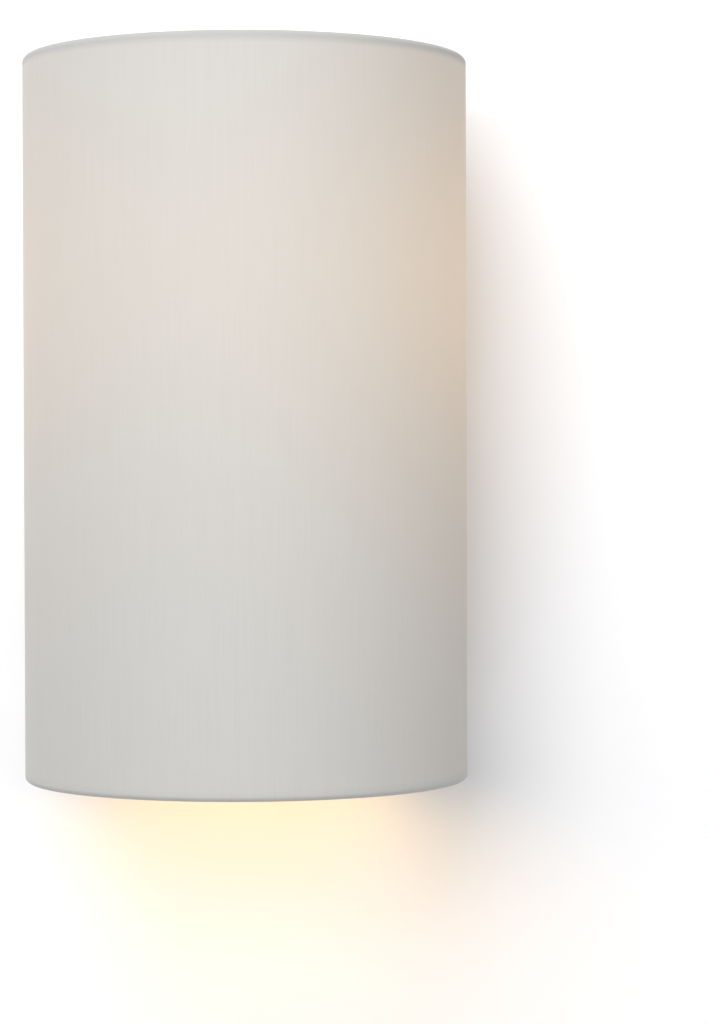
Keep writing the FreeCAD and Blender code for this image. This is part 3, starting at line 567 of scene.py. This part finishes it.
def striped_insulation(name, first, second):
    """Two-colour wire insulation: a stripe that runs along the wire."""
    x_turns, y_turns, sharpness = 2400.0, 1300.0, 3.0
    finish = Finish(name)
    x, y, _ = finish.parts(finish.place())
    band = ((x * x_turns + y * y_turns).cosine() * sharpness + 0.5).limited()
    finish.set(Base_Color=finish.blend(band, first, second), Roughness=0.45)
    return finish.material


def lit_glass(name):
    """Frosted glass of a lit bulb: brightest at the globe, dimmer down the neck."""
    look = bpy.context.scene.wall_light_fittings
    neck_low, neck_high, dimmest = CAP_HIGH.z - 0.002, CAP_HIGH.z + 0.034, 0.18
    finish = Finish(name)
    place = finish.place()
    glow = finish.parts(place)[2].step(neck_low, neck_high) * (1 - dimmest) + dimmest
    frost = finish.noise(place, 1500.0)
    finish.set(Base_Color=(0.9, 0.88, 0.84), Roughness=0.45, Coat_Weight=0.3,
               Normal=finish.bump(frost, 0.08, 0.0001),
               Emission_Color=finish.blend(glow, BLACK, look.bulb_colour),
               Emission_Strength=look.bulb_strength)
    return finish.material


def see_through_behind(name, colour, roughness):
    """Matt paint seen from the room; from behind, the view passes through it."""
    finish = Finish(name)
    finish.set(Base_Color=colour, Roughness=roughness, Specular_IOR_Level=0.1)
    behind = finish.add("ShaderNodeNewGeometry", {}, {}, "Backfacing")
    clear = finish.add("ShaderNodeBsdfTransparent", {}, {})
    solid = Value(finish, finish.shader.outputs[0])
    mixed = finish.add("ShaderNodeMixShader", {}, {0: behind, 1: solid, 2: clear})
    finish.put(finish.output, "Surface", mixed)
    return finish.material


# ---- Pieces ----
def on_drum(radius, arc, z):
    """Points at a radius, at a distance along the cloth from its left rear edge and at a height."""
    return about_axis(radius, ARC_START + arc / SHADE_RADIUS, z)


def distance_along(path):
    """Distance of each point of a path from the first, measured along the path."""
    return np.concatenate([[0], np.cumsum(np.linalg.norm(np.diff(path, axis=0), axis=1))])


def cloth_uv(across, along):
    """Place of each point of a grid on the flat cloth, in metres."""
    return np.stack(np.broadcast_arrays(across, along), axis=-1)


class WALL_LIGHT_OT_cloth(bpy.types.Operator):
    """Outer cloth, rolled over the end rings and turned inside at both ends"""
    bl_idname = "wall_light.cloth"
    bl_label = "Cloth Shade"

    def execute(self, context):
        look = context.scene.wall_light_shade
        middle = SHADE_RADIUS - look.cloth_thickness / 2
        top = SHADE_TOP - look.cloth_thickness / 2
        roll = look.hem_roll * 0.98  # a hair less, so that the two roundings stay apart
        upper = rounded([(FOLD_RADIUS, top - look.hem_fold, 0.0), (FOLD_RADIUS, top, roll),
                         (middle, top, roll), (middle, HEM_FOOT, 0.0)], 9, closed=False)
        z = np.linspace(HEM_FOOT, -HEM_FOOT, 40)[1:-1]
        wall = np.stack([np.full(len(z), middle), z], -1)
        profile = np.vstack([upper, wall, upper[::-1] * (1, -1)])
        length = distance_along(profile)
        arc = np.linspace(0, ARC_SWEEP * SHADE_RADIUS, CLOTH_COLUMNS)[:, None]
        points = on_drum(profile[:, 0], arc, profile[:, 1])
        cloth = facing_out(surface("cloth_shade", points, uv=cloth_uv(arc, length)))
        thicken(cloth, look.cloth_thickness)
        dress(cloth, "shade", "shade_cloth", once("linen_lit", linen, True),
              "shade_fabric", "top_hem", "bottom_hem")
        return {"FINISHED"}


class WALL_LIGHT_OT_backing(bpy.types.Operator):
    """Stiff white backing inside the cloth"""
    bl_idname = "wall_light.backing"
    bl_label = "Shade Backing"

    def execute(self, context):
        look = context.scene.wall_light_shade
        inset, end_gap = 0.0009, 0.0002
        arc = np.linspace(end_gap, ARC_SWEEP * SHADE_RADIUS - end_gap, CLOTH_COLUMNS)[:, None]
        points = on_drum(SHADE_RADIUS - inset, arc, np.linspace(-LINER_HIGH.z, LINER_HIGH.z, 9))
        sheet = facing_out(surface("shade_backing", points))
        thicken(sheet, look.backing_thickness)
        dress(sheet, "shade", "shade_backing", once("white_laminate", backing), "shade_liner")
        return {"FINISHED"}


class WALL_LIGHT_OT_edge_tapes(bpy.types.Operator):
    """Cloth tape folded round both rear edges of the shade and its upright wires"""
    bl_idname = "wall_light.edge_tapes"
    bl_label = "Edge Tapes"

    def execute(self, context):
        look = context.scene.wall_light_shade
        gap, corner, leaf_rows = 0.00005, 0.0011, 12
        outer = SHADE_RADIUS + look.tape_thickness / 2 + gap
        width, edge = look.tape_width, -look.tape_thickness
        fold = rounded([(outer, width, 0.0), (outer, edge, corner), (FOLD_RADIUS, edge, corner),
                        (FOLD_RADIUS, width, 0.0)], 7, closed=False)
        section = np.vstack([np.linspace(fold[0], fold[1], leaf_rows)[:-1], fold[1:-1],
                             np.linspace(fold[-2], fold[-1], leaf_rows)[1:]])
        length = distance_along(section)
        z = np.linspace(-HEM_FOOT, HEM_FOOT, 60)
        points = on_drum(section[:, :1], section[:, 1:], z)
        for side, sign in (("left", 1), ("right", -1)):
            placed = points * (sign, 1, 1)
            tape = surface(side + "_tape", placed, uv=cloth_uv(z, length[:, None]))
            facing_out(tape, placed.mean(axis=(0, 1)))
            thicken(tape, look.tape_thickness)
            dress(tape, "shade", "edge_tape", once("linen_tape", linen, False),
                  side + "_edge_binding")
        return {"FINISHED"}


class WALL_LIGHT_OT_bulb_glass(bpy.types.Operator):
    """Frosted pear-shaped glass of the bulb"""
    bl_idname = "wall_light.bulb_glass"
    bl_label = "Bulb Glass"

    def execute(self, context):
        """The outline is a globe, a hollow arc tangent to it and a straight neck."""
        neck, hollow, foot, thickness = 0.0128, 0.030, 0.0114, 0.0008
        step_high, step_low = CAP_HIGH.z - 0.0004, CAP_HIGH.z - 0.0022
        side = neck + hollow
        neck_top = GLOBE_Z - math.sqrt((GLASS_RADIUS + hollow) ** 2 - side ** 2)
        slope = math.atan2(neck_top - GLOBE_Z, side)
        globe_turn = np.linspace(math.pi / 2, slope, 40)
        waist_turn = np.linspace(math.pi + slope, math.pi, 16)[1:]

        def arc(r, z, radius, turn):
            return np.stack([r + radius * np.cos(turn), z + radius * np.sin(turn)], -1)

        def skin(inset):
            """The outline from the top of the globe down to the foot, moved inwards."""
            return np.vstack([arc(0, GLOBE_Z, GLASS_RADIUS - inset, globe_turn),
                              arc(side, neck_top, hollow + inset, waist_turn),
                              (neck - inset, step_high), (foot - inset, step_low),
                              (foot - inset, GLASS_LOW.z)])

        outline = np.vstack([skin(0.0), skin(thickness)[::-1]])
        outline[0, 0] = outline[-1, 0] = 0
        glass = turned("bulb_globe", outline, closed=False)
        dress(glass, "bulb", "frosted_glass", once("lit_frosted_glass", lit_glass), "bulb_glass")
        return {"FINISHED"}


def thread_wall(radius, z, look, high, low=-math.inf):
    """Angles, and the radii of a rolled right-hand thread over angle and height.

    The wall goes in and out by half a cosine of the height less the angle's share of the
    pitch. The thread runs out towards high and low, where there is a low.
    """
    run_out = 0.0012
    angle = circle(ROUND_SIDES)
    phase = 2 * math.pi * z / look.thread_pitch - angle
    t = np.clip((high - z) / run_out, 0, 1) * np.clip((z - low) / run_out, 0, 1)
    depth = look.thread_depth * t * t * (3 - 2 * t)
    return angle, radius - depth * (0.5 - 0.5 * np.cos(phase))


class WALL_LIGHT_OT_bulb_cap(bpy.types.Operator):
    """Rolled aluminium screw cap of the bulb"""
    bl_idname = "wall_light.bulb_cap"
    bl_label = "Bulb Screw Cap"

    def execute(self, context):
        """The threaded wall is cut off by a cone at its foot and turns in at its lip."""
        look = context.scene.wall_light_fittings
        foot, top, radius = CAP_LOW.z, CAP_HIGH.z, CAP_HIGH.x
        cone_height, cone_foot, cone_slope = 0.002, 0.0085, 2.4
        lip_height, lip_depth, sheet = 0.0006, 0.0004, 0.00025
        thread_end = top - 0.0085
        z = np.concatenate([np.linspace(foot, foot + cone_height, 6)[:-1],
                            np.linspace(foot + cone_height, thread_end - 0.0005, 96),
                            np.linspace(thread_end, top, 12)])
        angle, r = thread_wall(radius, z, look, thread_end)
        cone = cone_foot + (z - foot) * cone_slope
        lip = radius - lip_depth * np.clip((z - top + lip_height) / lip_height, 0, 1) ** 2
        r = np.minimum(np.minimum(r, cone), lip)
        cap = facing_out(surface("bulb_screw_cap", about_axis(r, angle, z), wrap_u=True))
        thicken(cap, sheet, offset=-1.0)
        material = once("rolled_aluminium", metal, (0.74, 0.74, 0.75), 0.28, 0.15)
        dress(cap, "bulb", "cap_metal", material, "bulb_cap")
        return {"FINISHED"}


# Colour, roughness and scratches of all brass parts
BRASS = ((0.78, 0.60, 0.28), 0.3, 0.15)


class WALL_LIGHT_OT_screw_shell(bpy.types.Operator):
    """Rolled brass shell that the bulb screws into"""
    bl_idname = "wall_light.screw_shell"
    bl_label = "Lamp Screw Shell"

    def execute(self, context):
        """A ring-shaped floor, from its hole out to the bore, and the threaded wall."""
        look = context.scene.wall_light_fittings
        sheet, clearance, floor_hole, floor_rings = 0.0003, 0.0001, 0.0071, 4
        bore = SHELL_HIGH.x - sheet - clearance
        floor = SHELL_LOW.z + sheet
        rim, thread_end = SHELL_HIGH.z - 0.0014, CAP_HIGH.z - 0.0095
        z = np.concatenate([np.linspace(floor, rim - 0.0001, 96),
                            np.linspace(rim, SHELL_HIGH.z, 6)])
        angle, r = thread_wall(bore, z, look, thread_end, SHELL_LOW.z)
        r = np.hstack([np.linspace(floor_hole, bore, floor_rings + 1)[:-1] + 0 * angle, r])
        z = np.concatenate([np.full(floor_rings, floor), z])
        shell = facing_out(surface("brass_screw_shell", about_axis(r, angle, z), wrap_u=True))
        thicken(shell, sheet, offset=1.0)
        dress(shell, "wall_bracket", "contact_brass", once("plain_brass", metal, *BRASS),
              "lamp_screw_shell")
        return {"FINISHED"}


class WALL_LIGHT_OT_lampholder(bpy.types.Operator):
    """Moulded skirt and cap of the lampholder, with their softened edges"""
    bl_idname = "wall_light.lampholder"
    bl_label = "Lampholder"

    def execute(self, context):
        """Both are turned from outlines whose corners are (r, z, rounding)."""
        look = context.scene.wall_light_fittings
        outer, inner = HOLDER_RADIUS, HOLDER_RADIUS - 0.0023
        low, mouth, foot = HOLDER_LOW.z, HOLDER_HIGH.z, HOLDER_CAP_LOW.z
        waist, lip_bore, lip = outer - 0.0006, 0.015, mouth - 0.0025
        skirt = rounded([(inner, low, 0.0002), (outer, low, 0.0005), (outer, low + 0.0016, 0.0004),
                         (waist, low + 0.0024, 0.0004), (waist, mouth - 0.006, 0.0006),
                         (outer, mouth - 0.005, 0.0006), (outer, mouth, 0.0012),
                         (lip_bore, mouth, 0.0008), (lip_bore, lip, 0.0004), (inner, lip, 0.0006)])
        stem_bore, stem, shoulder = 0.00505, 0.008, foot + 0.0055
        ledge, ledge_bore = low - 0.008, inner - 0.002
        cap = rounded([(stem_bore, foot, 0.0003), (stem, foot, 0.0008), (stem, shoulder, 0.0015),
                       (outer, shoulder + 0.010, 0.004), (outer, low, 0.0005),
                       (inner, low, 0.0002), (inner, ledge, 0.0003), (ledge_bore, ledge, 0.0003),
                       (ledge_bore, ledge - 0.002, 0.001), (0.009, shoulder + 0.003, 0.0015),
                       (stem_bore, shoulder + 0.001, 0.0005)])
        material = once("white_moulding", plastic, look.holder_colour, 0.3, 0.25)
        for name, outline, node in (("lampholder_skirt", skirt, "lampholder_body"),
                                    ("lampholder_dome", cap, "lampholder_cap")):
            dress(turned(name, outline), "wall_bracket", "holder_plastic", material, node)
        return {"FINISHED"}


class WALL_LIGHT_OT_arm(bpy.types.Operator):
    """Bent tube and its collar on the wall box"""
    bl_idname = "wall_light.arm"
    bl_label = "Arm And Collar"

    def execute(self, context):
        """The tube's path is a level line, a quarter circle and an upright line. The collar's
        outline of (r, y) goes round the level line."""
        level = ARM_LOW.z + ARM_RADIUS
        bend, tube_wall = 0.016, 0.001
        t = np.linspace(0, math.pi / 2, 24)
        run = np.linspace(ARM_HIGH.y, AXIS_Y + bend, 8)[:-1]
        rise = np.linspace(level + bend, ARM_HIGH.z, 4)[1:]
        y = np.concatenate([run, AXIS_Y + bend - bend * np.sin(t), np.full(len(rise), AXIS_Y)])
        z = np.concatenate([np.full(len(run), level), level + bend - bend * np.cos(t), rise])
        path = np.stack([0 * y, y, z], -1)
        tube = swept("arm_bent_tube", path, (1.0, 0.0, 0.0), ARM_RADIUS, 48)
        thicken(tube, tube_wall, offset=-1.0)
        material = once("satin_nickel", metal, (0.70, 0.68, 0.64), 0.3, 0.12)
        dress(tube, "wall_bracket", "arm_steel", material, "arm_tube")
        front, back = COLLAR_LOW.y, COLLAR_HIGH.y
        bore, radius = ARM_RADIUS + 0.00005, COLLAR_HIGH.x
        outline = rounded([(bore, back, 0.0), (radius, back, 0.0003),
                           (radius, front + 0.0013, 0.0006), (radius - 0.0022, front, 0.0008),
                           (bore, front, 0.0003)])
        angle, r, y = circle(72), outline[:, 0], outline[:, 1]
        points = np.stack(np.broadcast_arrays(r * np.cos(angle), y, level + r * np.sin(angle)), -1)
        collar = surface("arm_wall_collar", points, wrap_u=True, wrap_v=True)
        dress(collar, "wall_bracket", "arm_steel", material, "arm_collar")
        return {"FINISHED"}


class WALL_LIGHT_OT_wall_box(bpy.types.Operator):
    """Pressed and painted cover of the wall box"""
    bl_idname = "wall_light.wall_box"
    bl_label = "Wall Box Cover"

    def execute(self, context):
        """Each ring is a rounded rectangle, inset by d: on the sides d is 0, round the front
        edge it follows a quarter circle, and on the front it shrinks to the middle."""
        half_x, half_z = COVER_HIGH.x, COVER_HIGH.z
        front, back = COVER_LOW.y, COVER_HIGH.y
        corner, sharpest, press, sheet = 0.006, 0.0005, 0.003, 0.001
        plate_stop = -0.0019  # where the top and bottom edges end, just in front of the wall plate
        turn = np.linspace(0, math.pi / 2, 9)
        signs = [(1, 1), (-1, 1), (-1, -1), (1, -1)]
        stretch = np.linspace(0, 1, 10)[1:-1, None]

        def ring(inset):
            """A rounded rectangle as (x, z) points, its sides divided evenly."""
            r = max(corner - inset, sharpest)
            quarter = [np.stack([sx * (half_x - inset - r) + r * np.cos(turn + k * math.pi / 2),
                                 sz * (half_z - inset - r) + r * np.sin(turn + k * math.pi / 2)],
                                -1) for k, (sx, sz) in enumerate(signs)]
            sides = []
            for k in range(4):
                here, following = quarter[k], quarter[(k + 1) % 4]
                sides += [here, here[-1] + (following[0] - here[-1]) * stretch]
            return np.vstack(sides)

        outline = ring(0.0)
        rim = np.where(np.abs(outline[:, 1]) > half_z - corner, plate_stop, back)
        rows = [(outline, rim + (front + press - rim) * t) for t in np.linspace(0, 1, 5)[:-1]]
        rows += [(ring(press * (1 - math.cos(a))), front + press * (1 - math.sin(a)))
                 for a in np.linspace(0, math.pi / 2, 8)]
        rows += [(ring(press) * t, front) for t in (0.985, 0.75, 0.5, 0.25, 0.0)]
        points = np.stack([np.stack(np.broadcast_arrays(flat[:, 0], y, flat[:, 1]), -1)
                           for flat, y in rows], axis=1)
        cover = surface("wall_box_shell", points, wrap_u=True)
        facing(cover, cover.data.polygons[0].center)
        thicken(cover, sheet, offset=-1.0)
        dress(cover, "wall_bracket", "white_paint", once("powder_paint", powder_paint),
              "wall_box_cover")
        return {"FINISHED"}


# Material, what makes it, its settings and the CAD nodes that get it
SMALL_PARTS = (
    ("powder_paint", powder_paint, (),
     ("top_ring", "bottom_ring", "left_strut", "right_strut", "upper_hanger_bar",
      "lower_hanger_bar")),
    ("zinc_plating", metal, ((0.62, 0.64, 0.67), 0.34, 0.2), ("wall_plate",)),
    ("bright_steel", metal, ((0.62, 0.62, 0.63), 0.24, 0.12),
     ("hanging_studs", "cover_screws", "terminal_screws", "terminal_block_screws",
      "earth_screw", "arm_lock_nut", "lampholder_terminal_screws", "bulb_filament_crowns")),
    ("plain_brass", metal, BRASS,
     ("terminal_inserts", "earth_lug", "centre_contact", "contact_rivets",
      "lampholder_terminals")),
    ("black_rubber", plastic, ((0.03, 0.03, 0.03), 0.6), ("cable_grommet",)),
    ("natural_nylon", plastic, ((0.82, 0.80, 0.74), 0.4), ("terminal_block",)),
    ("glazed_ceramic", plastic, ((0.84, 0.83, 0.80), 0.2, 0.8), ("lampholder_insulator",)),
    ("brown_insulation", plastic, ((0.20, 0.08, 0.03), 0.45), ("live_wire",)),
    ("blue_insulation", plastic, ((0.03, 0.16, 0.5), 0.45), ("neutral_wire",)),
    ("green_yellow_insulation", striped_insulation, ((0.10, 0.36, 0.05), (0.80, 0.68, 0.05)),
     ("earth_wire",)),
    ("tinned_contact", metal, ((0.6, 0.6, 0.6), 0.35, 0.1), ("bulb_tip_contact",)),
    ("dark_glass", plastic, ((0.02, 0.02, 0.025), 0.12, 0.8), ("bulb_cap_insulator",)),
    ("stem_glass", plastic, ((0.80, 0.83, 0.84), 0.1, 0.5), ("bulb_stem",)),
    ("phosphor", plastic, ((0.90, 0.60, 0.12), 0.5), ("bulb_filaments",)),
)


class WALL_LIGHT_OT_fittings(bpy.types.Operator):
    """Finishes of the wires, plate, studs, terminals and small parts"""
    bl_idname = "wall_light.fittings"
    bl_label = "Fittings"

    def execute(self, context):
        for name, make, settings, nodes in SMALL_PARTS:
            repaint(once(name, make, *settings), *nodes)
        return {"FINISHED"}


class WALL_LIGHT_OT_studio(bpy.types.Operator):
    """Plain wall and floor, soft light and the camera"""
    bl_idname = "wall_light.studio"
    bl_label = "Studio"

    def execute(self, context):
        look = context.scene.wall_light_studio
        ground, ceiling, side, reach = -1.2, 4.8, 3.0, 6.0
        gap, overlap = 0.002, 0.0005
        shade_x, shade_z = REAR_HALF_WIDTH + gap, LINER_HIGH.z
        plate_x, plate_z = PLATE_HIGH.x - overlap, PLATE_HIGH.z - overlap
        opening = (-shade_x, -shade_z, shade_x, shade_z)
        paint = see_through_behind("wall_paint", look.wall_colour, 0.95)
        wall = self.panel("studio_wall", (-side, ground, side, ceiling), opening, paint)
        behind = self.panel("studio_wall_behind_shade", opening,
                            (-plate_x, -plate_z, plate_x, plate_z), paint)
        x, y = np.meshgrid((-side, side), (-reach, reach), indexing="ij")
        floor = surface("studio_floor", np.stack([x, y, 0 * x + ground], -1))
        facing(floor, (0, 0, 1))
        floor.data.materials.append(see_through_behind("floor_paint", look.floor_colour, 0.8))
        for name, power, size, azimuth, elevation in (
                ("side_lamp", look.side_power, look.small_lamp, -45, 10),
                ("front_lamp", look.front_power, look.small_lamp, -15, 10),
                ("soft_lamp", look.soft_power, look.large_lamp, -15, 30),
                ("top_lamp", look.top_power, look.large_lamp, -25, 55),
                ("fill_lamp", look.fill_power, look.large_lamp, 45, 12)):
            self.lamp(context, name, power, size, azimuth, elevation)
        self.spill(context, wall, floor)
        sky = bpy.data.worlds.new("even_sky")
        sky.use_nodes = True
        background = sky.node_tree.nodes["Background"]
        background.inputs["Color"].default_value = (*look.sky_colour, 1.0)
        background.inputs["Strength"].default_value = look.sky_strength
        context.scene.world = sky
        context.scene.view_settings.view_transform = "Standard"
        self.camera(context)
        return {"FINISHED"}

    def panel(self, name, outer, inner, material):
        """A flat wall panel with a rectangular opening; both outlines are (x, z, x, z) corners."""
        wall_plane = 0.0004
        rows = [[(x0, z0), (x1, z0), (x1, z1), (x0, z1)] for x0, z0, x1, z1 in (outer, inner)]
        flat = np.array(rows).transpose(1, 0, 2)
        points = np.stack([flat[..., 0], np.full(flat.shape[:2], wall_plane), flat[..., 1]], -1)
        made = facing(surface(name, points, wrap_u=True), (0, -1, 0))
        made.data.materials.append(material)
        return made

    def area_light(self, context, name, shape, size, power):
        light = bpy.data.lights.new(name, "AREA")
        light.shape = shape
        light.size = size
        light.energy = power
        made = bpy.data.objects.new(name, light)
        context.scene.collection.objects.link(made)
        return made

    def spill(self, context, *surroundings):
        """The lamp's light on the wall and floor, through the open ends of the shade.

        Two discs stand for the lit ends, one facing up and one facing down. They light the
        studio alone, and the bulb is kept dim, so the inside of the shade keeps its detail.
        """
        look = context.scene.wall_light_studio
        edge_gap, height = 0.01, 0.75 * SHADE_TOP
        lit = bpy.data.collections.new("lit_by_spill")
        shading = bpy.data.collections.new("shades_the_spill")
        for piece in surroundings:
            lit.objects.link(piece)
        for name in ("cloth_shade", "shade_backing", "left_tape", "right_tape", "wall_box_shell"):
            shading.objects.link(bpy.data.objects[name])
        for name, up, share in (("upper_spill", 1, 0.15), ("lower_spill", -1, 1.0)):
            made = self.area_light(context, name, "DISK", 2 * (SHADE_RADIUS - edge_gap),
                                   look.spill_power * share)
            made.data.color = look.spill_colour
            made.location = (0, AXIS_Y, up * height)
            made.rotation_euler = (math.pi if up == 1 else 0, 0, 0)
            made.visible_camera = False
            made.light_linking.receiver_collection = lit
            made.light_linking.blocker_collection = shading

    def lamp(self, context, name, power, size, azimuth, elevation):
        """A square lamp turned to the shade's axis, from angles in degrees off the camera side."""
        look = context.scene.wall_light_studio
        made = self.area_light(context, name, "SQUARE", size, power)
        azimuth, elevation = math.radians(azimuth), math.radians(elevation)
        toward = Vector((math.sin(azimuth) * math.cos(elevation),
                         -math.cos(azimuth) * math.cos(elevation), math.sin(elevation)))
        made.rotation_mode = "QUATERNION"
        made.location = Vector((0, AXIS_Y, 0)) + toward * look.lamp_distance
        made.rotation_quaternion = toward.to_track_quat("Z", "Y")

    def camera(self, context):
        """Places the camera where the photograph was taken: 14 shade radii in front of the
        shade's axis, a little below its middle, turned and tilted by small angles."""
        focal_pixels = 3089.9
        frame_height_pixels = 1024
        view = bpy.data.cameras.new("photo_view")
        view.sensor_fit = "VERTICAL"
        view.sensor_height = 36.0
        view.lens = focal_pixels / frame_height_pixels * view.sensor_height
        view.clip_end = 50.0
        camera = bpy.data.objects.new("photo_view", view)
        context.scene.collection.objects.link(camera)
        distance, height = 14.014 * SHADE_RADIUS, -0.2042 * SHADE_RADIUS
        tilt, turn, roll = math.radians(-0.879), math.radians(2.001), math.radians(0.168)
        turned_view = (Matrix.Rotation(-turn, 4, "Z") @ Matrix.Rotation(math.pi / 2 + tilt, 4, "X")
                       @ Matrix.Rotation(-roll, 4, "Z"))
        camera.matrix_world = Matrix.Translation((0, AXIS_Y - distance, height)) @ turned_view
        context.scene.camera = camera


OPERATORS = (WALL_LIGHT_OT_cloth, WALL_LIGHT_OT_backing, WALL_LIGHT_OT_edge_tapes,
             WALL_LIGHT_OT_bulb_glass, WALL_LIGHT_OT_bulb_cap, WALL_LIGHT_OT_screw_shell,
             WALL_LIGHT_OT_lampholder, WALL_LIGHT_OT_arm, WALL_LIGHT_OT_wall_box,
             WALL_LIGHT_OT_fittings, WALL_LIGHT_OT_studio)


class WALL_LIGHT_PT_panel(bpy.types.Panel):
    """Lists the pieces of the wall light and their settings"""
    bl_label = "Wall Light"
    bl_idname = "WALL_LIGHT_PT_panel"
    bl_space_type = "VIEW_3D"
    bl_region_type = "UI"
    bl_category = "Wall Light"

    def draw(self, context):
        for operator in OPERATORS:
            self.layout.operator(operator.bl_idname)
        for group in (context.scene.wall_light_shade, context.scene.wall_light_fittings,
                      context.scene.wall_light_studio):
            box = self.layout.box()
            for name in group.__annotations__:
                box.prop(group, name)


GROUPS = {"wall_light_shade": WallLightShade, "wall_light_fittings": WallLightFittings,
          "wall_light_studio": WallLightStudio}
CLASSES = tuple(GROUPS.values()) + OPERATORS + (WALL_LIGHT_PT_panel,)


def register():
    for cls in CLASSES:
        bpy.utils.register_class(cls)
    for name, group in GROUPS.items():
        setattr(bpy.types.Scene, name, bpy.props.PointerProperty(type=group))


def unregister():
    for name in GROUPS:
        delattr(bpy.types.Scene, name)
    for cls in reversed(CLASSES):
        bpy.utils.unregister_class(cls)


def main():
    register()
    for operator in OPERATORS:
        group, name = operator.bl_idname.split(".")
        getattr(getattr(bpy.ops, group), name)()
    bpy.context.view_layer.update()


if __name__ == "__main__":
    main()
